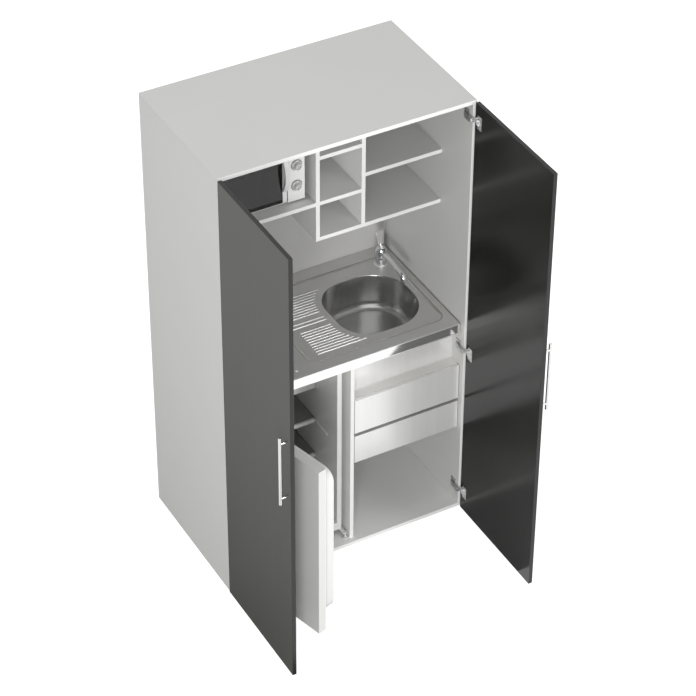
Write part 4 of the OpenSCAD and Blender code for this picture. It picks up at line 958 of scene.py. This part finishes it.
def knob_scales():
    """Printed dots about the hob knobs and the microwave's two knobs, and a flat dark ring round
    each of the latter, painted shade of the gap round the knob."""
    print_grey = moulded("scale_print", (0.05, 0.05, 0.05), 0.5)
    marks = []
    for knob in ("front_plate_knob", "rear_plate_knob"):
        low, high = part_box(knob)
        marks += [((x, y, TOP_HIGH.z), (0, 0, 1)) for x, y in
                  dial((low.x + high.x) / 2, (low.y + high.y) / 2, 28 * MM, 7, 0, 300)]
    add("hob_scale",
        repeated("scale_dot", stud, marks, print_grey, radius=1.1 * MM, height=0.2 * MM),
        "carcass", slot="black_plastic")
    face = lows("microwave_case").y
    inner, outer, slant, height = 20.4 * MM, 22.6 * MM, (0.2 * MM, 0.3 * MM), 0.5 * MM
    profile = [(inner, 0), (outer, 0), (outer - slant[1], height), (inner + slant[0], height),
               (inner, 0)]
    marks, rings = [], []
    for knob in ("power_knob", "timer_knob"):
        low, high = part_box(knob)
        x, z = (low.x + high.x) / 2, (low.z + high.z) / 2
        marks += [((a, face, b), (0, -1, 0)) for a, b in dial(x, z, 27 * MM, 13, -150, 150)]
        # painted shade: a dark grey ring stands for the shadowed gap round each microwave knob
        rings.append(mesh_from(turned(profile, 48, (x, face, z)), "ring",
                               moulded("knob_surround", (0.16, 0.16, 0.16), 0.4)))
    dots = repeated("dial_dot", stud, marks, print_grey, radius=0.9 * MM, height=0.2 * MM)
    add("microwave_dials", joined(dots, *rings), "carcass", slot="grey_plastic")


knob_scales()


# ---- fridge and microwave ----

def two_tone_case():
    """White front of the microwave and its grey stoved body."""
    made = Finish("microwave_two_tone", (0.8, 0.8, 0.79), 0.3, Coat_Weight=0.2, Coat_Roughness=0.1)
    front = made.place().parts()[1] < lows("microwave_case").y + 3 * MM
    cloud = made.noise(4.0, 2.0)
    peel = made.noise(300.0, 2.0)
    body = made.mixed(cloud, (0.285, 0.295, 0.285), (0.305, 0.315, 0.305))
    made.set("Base Color", made.mixed(front, body, (0.82, 0.82, 0.815)))
    made.set("Roughness", 0.27 + peel * 0.05)
    made.bumped(peel, 0.15, 0.00005)
    return made.material


def plate(low, high, finish):
    """A thin flat block as a mesh."""
    return mesh_from(bounded(low, high, 0.12 * MM, 1), "plate", finish)


# How far the window's layers and the handle's strip stand before the microwave door's face.
SCREEN_OUT, HOLES_OUT, FRAME_OUT = 0.35 * MM, 0.42 * MM, 0.5 * MM
PANE_IN, PANE_OUT = 0.55 * MM, 1.6 * MM
STRIP_IN, STRIP_OUT = 1.4 * MM, 5 * MM


def microwave_window():
    """Black glazed door front: printed frame, perforated screen, clear pane and white strip."""
    low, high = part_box("microwave_door")
    see_low, see_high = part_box("microwave_door_glass")
    see_low = see_low + Vector((12 * MM, 0, 26 * MM))
    see_high = see_high - Vector((30 * MM, 0, 22 * MM))
    face = low.y
    tree = Grower("window_screen")
    pitch = tree.size("Hole pitch", 3.0 * MM)
    hole = tree.size("Hole radius", 0.9 * MM)
    margin = 5 * MM
    across = tree.size("Width", see_high.x - see_low.x - margin)
    upward = tree.size("Height", see_high.z - see_low.z - margin)
    grid = tree.node("GeometryNodeMeshGrid", {}, {
        "Size X": across, "Size Y": upward,
        "Vertices X": (across / pitch).math("ROUND"), "Vertices Y": (upward / pitch).math("ROUND")})
    disc = tree.node("GeometryNodeMeshCircle", {"fill_type": "NGON"},
                     {"Vertices": 6, "Radius": hole})
    dots = tree.node("GeometryNodeInstanceOnPoints", {}, {"Points": grid, "Instance": disc})
    middle = ((see_low.x + see_high.x) / 2, face - HOLES_OUT, (see_low.z + see_high.z) / 2)
    stood = tree.node("GeometryNodeTransform", {}, {
        "Geometry": dots, "Rotation": UPRIGHT, "Translation": middle})
    black = moulded("printed_black", (0.006, 0.006, 0.006), 0.3)
    screen = plate((see_low.x, face - SCREEN_OUT, see_low.z), (see_high.x, face, see_high.z),
                   moulded("brown_screen", (0.050, 0.047, 0.045), 0.5))
    # painted shade: the holes are darker discs on the screen, standing for the unlit cavity seen
    # through them
    holes = tree.grown(stood, moulded("screen_hole", (0.022, 0.021, 0.020), 0.5))
    left, right = low.x + 1.5 * MM, high.x - 0.6 * MM
    bottom, top = low.z + 4 * MM, high.z - 2 * MM
    edges = [(left, see_low.x, bottom, top), (see_high.x, right, bottom, top),
             (see_low.x, see_high.x, bottom, see_low.z), (see_low.x, see_high.x, see_high.z, top)]
    frames = [plate((x0, face - FRAME_OUT, z0), (x1, face, z1), black) for x0, x1, z0, z1 in edges]
    add("window_frame_and_screen", joined(screen, holes, *frames), "microwave_door",
        slot="dark_glass")
    pane = bounded((low.x + 1.2 * MM, face - PANE_OUT, low.z + 3.6 * MM),
                   (high.x - 0.5 * MM, face - PANE_IN, high.z - 1.8 * MM), 0.4 * MM, 2)
    add("window_pane", mesh_from(pane, "pane"), "microwave_door",
        clear_sheet("clear_pane", (0.02, 0.02, 0.02), 0.45, 0.03), slot="dark_glass",
        stands_for=("microwave_door_glass",))
    grip_low, grip_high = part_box("microwave_handle")
    strip = bounded((grip_low.x + 1 * MM, face - STRIP_OUT, low.z + 7 * MM),
                    (grip_high.x - 1 * MM, face - STRIP_IN, high.z - 5 * MM), 1.4 * MM, 3)
    add("handle_strip", mesh_from(strip, "strip"), "microwave_door", white_moulding,
        slot="white_plastic")


FRIDGE_PIVOT = (-0.465, -0.2735, 0)
FRIDGE_OPEN = math.radians(-75)
SEAL_X, SEAL_Y = 0.2305, 24.5 * MM  # the seal's middle from the pivot, the door closed


def fridge_gasket():
    """Soft seal round the back of the fridge door, made on the closed door and swung with it."""
    low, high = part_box("fridge_door_panel")
    tree = Grower("door_gasket")
    width = tree.size("Width", 0.460)
    height = tree.size("Height", 0.775)
    breadth = tree.size("Breadth", 11 * MM)
    depth = tree.size("Depth", 3.0 * MM)

    def filleted(wide, tall, count, radius):
        line = tree.node("GeometryNodeCurvePrimitiveQuadrilateral", {"mode": "RECTANGLE"},
                         {"Width": wide, "Height": tall})
        return tree.node("GeometryNodeFilletCurve", {"mode": "POLY"},
                         {"Curve": line, "Count": count, "Radius": radius})

    line = tree.node("GeometryNodeSetCurveNormal", {"mode": "Z_UP"},
                     {"Curve": filleted(width, height, 6, 12 * MM)})
    section = filleted(breadth, depth, 3, 1.2 * MM)
    seal = tree.node("GeometryNodeCurveToMesh", {}, {"Curve": line, "Profile Curve": section})
    seal = tree.node("GeometryNodeTransform", {}, {
        "Geometry": seal, "Rotation": UPRIGHT,
        "Translation": (SEAL_X, SEAL_Y, (low.z + high.z) / 2)})
    mesh = tree.grown(seal, moulded("grey_white_seal", (0.62, 0.62, 0.61), 0.55))
    mesh.transform(Matrix.Translation(FRIDGE_PIVOT) @ Matrix.Rotation(FRIDGE_OPEN, 4, "Z"))
    add("fridge_gasket", mesh, "fridge_door", slot="white_plastic")


def roller_ring():
    """Ring and three rollers that carry the turntable."""
    low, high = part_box("turntable")
    tree = Grower("roller_ring")
    radius = tree.size("Ring radius", 82 * MM)
    wire = tree.size("Wire radius", 2.4 * MM)
    wheel = tree.size("Wheel radius", 4.6 * MM)
    circle = "GeometryNodeCurvePrimitiveCircle"
    loop = tree.node(circle, {}, {"Resolution": 72, "Radius": radius})
    section = tree.node(circle, {}, {"Resolution": 10, "Radius": wire})
    hoop = tree.node("GeometryNodeCurveToMesh", {}, {"Curve": loop, "Profile Curve": section})
    spots = tree.node("GeometryNodeMeshCircle", {"fill_type": "NONE"},
                      {"Vertices": 3, "Radius": radius + 6 * MM})
    out = tree.node("GeometryNodeInputPosition")
    turn = tree.node("FunctionNodeAlignRotationToVector", {"axis": "Z"}, {"Vector": out})
    roller = tree.node("GeometryNodeMeshCylinder", {}, {
        "Vertices": 24, "Radius": wheel, "Depth": 7 * MM})
    wheels = tree.node("GeometryNodeInstanceOnPoints", {}, {
        "Points": spots, "Instance": roller, "Rotation": turn})
    below = ((low.x + high.x) / 2, (low.y + high.y) / 2, low.z - 1 * MM)
    carrier = tree.node("GeometryNodeTransform", {}, {
        "Geometry": tree.joined(hoop, wheels), "Translation": below})
    add("roller_ring", tree.grown(carrier, white_moulding), "turntable", slot="white_plastic")


def microwave_vents():
    """Two rows of upright slots in the microwave's right side, drawn as dark bars whose dark is
    painted shade inside the openings.
    """
    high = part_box("microwave_case")[1]
    first_y, first_z, pitch, row_pitch = 0.140, 1.700, 9 * MM, 34 * MM
    spots = [((high.x, first_y + pitch * k, first_z + row_pitch * row), (1, 0, 0))
             for row in range(2) for k in range(10)]
    # painted shade: near-black bars stand for the shade inside the vent openings
    dark = moulded("vent_slot", (0.02, 0.02, 0.02), 0.6)
    add("microwave_vents",
        repeated("vent_slots", slot_bar, spots, dark,
                 length=3.2 * MM, breadth=24 * MM, depth=0.5 * MM),
        "carcass", slot="black_plastic")


softened("fridge_cabinet", 1.2 * MM, liner_moulding)
fridge_gasket()
roller_ring()
microwave_vents()
coat("fridge_shelves", clear_sheet("smoked_shelf_glass", (0.34, 0.35, 0.32), 0.70, 0.06))
for part in ("fridge_shelf_trims", "freezer_flap", "thermostat_knob"):
    softened(part, 1.0 * MM, white_moulding)
softened("freezer_box", 0.5 * MM, freezer_sheet)
softened("crisper_drawer", 1.0 * MM, frosted)
softened("fridge_door_panel", 3.0 * MM, fridge_skin, segments=4)
softened("fridge_door_liner", 3.0 * MM, liner_moulding, segments=3)
softened("fridge_door_bins", 1.0 * MM, frosted)
softened("fridge_hinges", 0.4 * MM, coated_steel)

softened("microwave_case", 1.0 * MM, two_tone_case())
coat("microwave_cavity", enamelled("cavity_enamel", (0.42, 0.42, 0.41), 0.4))
softened("microwave_door", 1.5 * MM, white_moulding, segments=3)
microwave_window()
softened("microwave_handle", 2.0 * MM, white_moulding, segments=3)
for part in ("power_knob", "timer_knob"):
    softened(part, 0.8 * MM, knob_moulding, segments=3)
coat("turntable", clear_sheet("turntable_glass", (0.75, 0.82, 0.82), 0.45))


# ---- studio ----

def studio():
    """A pale floor, a white surround and three soft lamps. The floor glows where the
    camera sees it, and where the glossy fronts mirror its parts before and beside the unit."""
    half, sunk = 30, 0.5 * MM
    corners = [(-half, -half, 0), (half, -half, 0), (half, half, 0), (-half, half, 0)]
    floor_mesh = bpy.data.meshes.new("studio_floor")
    floor_mesh.from_pydata(corners, [], [(0, 1, 2, 3)])
    floor = placed("studio_floor", floor_mesh)
    floor.location.z = -sunk
    finish = bpy.data.materials.new("studio_floor")
    graph = Graph(emptied(finish))
    seen, through, glossy = rays(graph, "Camera", "Transmission", "Glossy")
    east, north, _ = graph.node("ShaderNodeTexCoord", output="Object").parts()
    front_y, left_x, fade_x, fade_width = -0.75, -0.48, 0.65, 1.1
    before = (north < front_y) * (east > left_x)
    beside = ((east * -1.0 - fade_x) / fade_width).held()
    mirrored = glossy * before.most(beside)
    paint = graph.node("ShaderNodeBsdfDiffuse", {}, {"Color": (0.55, 0.55, 0.55, 1.0)})
    glow = graph.node("ShaderNodeEmission", {}, {"Color": (1, 1, 1, 1), "Strength": 0.85})
    both = graph.node("ShaderNodeAddShader", {}, [paint, glow])
    pale = graph.node("ShaderNodeMixShader", {},
                      [(seen + mirrored + through).held(), paint, both])
    graph.ended("ShaderNodeOutputMaterial", pale.socket)
    floor_mesh.materials.append(finish)

    world = bpy.data.worlds.new("studio")
    bpy.context.scene.world = world
    graph = Graph(emptied(world))
    seen, glossy, through = rays(graph, "Camera", "Glossy", "Transmission")
    soft, white = [graph.node("ShaderNodeBackground", {}, {"Color": (1, 1, 1, 1), "Strength": s})
                   for s in (0.64, 1.0)]
    mix = graph.node("ShaderNodeMixShader", {}, [(seen + glossy + through).held(), soft, white])
    graph.ended("ShaderNodeOutputWorld", mix.socket)

    for name, place, aim, size, watts in (
            ("front_lamp", (-3.3, -5.8, 1.6), (0, 0, 0.9), 2.0, 225),
            ("right_lamp", (2.9, -6.0, 3.6), (-0.3, 0, 1.0), 1.6, 110),
            ("top_lamp", (-1.0, -0.5, 5.5), (0, 0, 1.5), 3.0, 38)):
        data = bpy.data.lights.new(name, "AREA")
        data.shape = "DISK"
        data.size = size
        data.energy = watts
        made = placed(name, data)
        made.location = place
        made.rotation_euler = (Vector(aim) - Vector(place)).to_track_quat("-Z", "Y").to_euler()


def photo_camera():
    """The photograph's camera, found from the corners that it shows."""
    photo_width, focal_length = 696.0, 2725.85  # in pixels
    place = (-3.8815, -7.2360, 7.2162)
    data = bpy.data.cameras.new("photo_camera")
    data.sensor_width = 36.0
    data.lens = focal_length / photo_width * data.sensor_width
    data.clip_start = 0.1
    data.clip_end = 100.0
    made = placed("photo_camera", data)
    right = Vector((0.8743, -0.48536, 0.00478)).normalized()
    ahead = Vector((0.38454, 0.6866, -0.61702)).normalized()
    up = right.cross(ahead).normalized()
    right = ahead.cross(up)
    turn = Matrix((right, up, -ahead)).transposed().to_4x4()
    made.matrix_world = Matrix.Translation(place) @ turn
    bpy.context.scene.camera = made


studio()
photo_camera()
bpy.context.scene.view_settings.view_transform = "Standard"
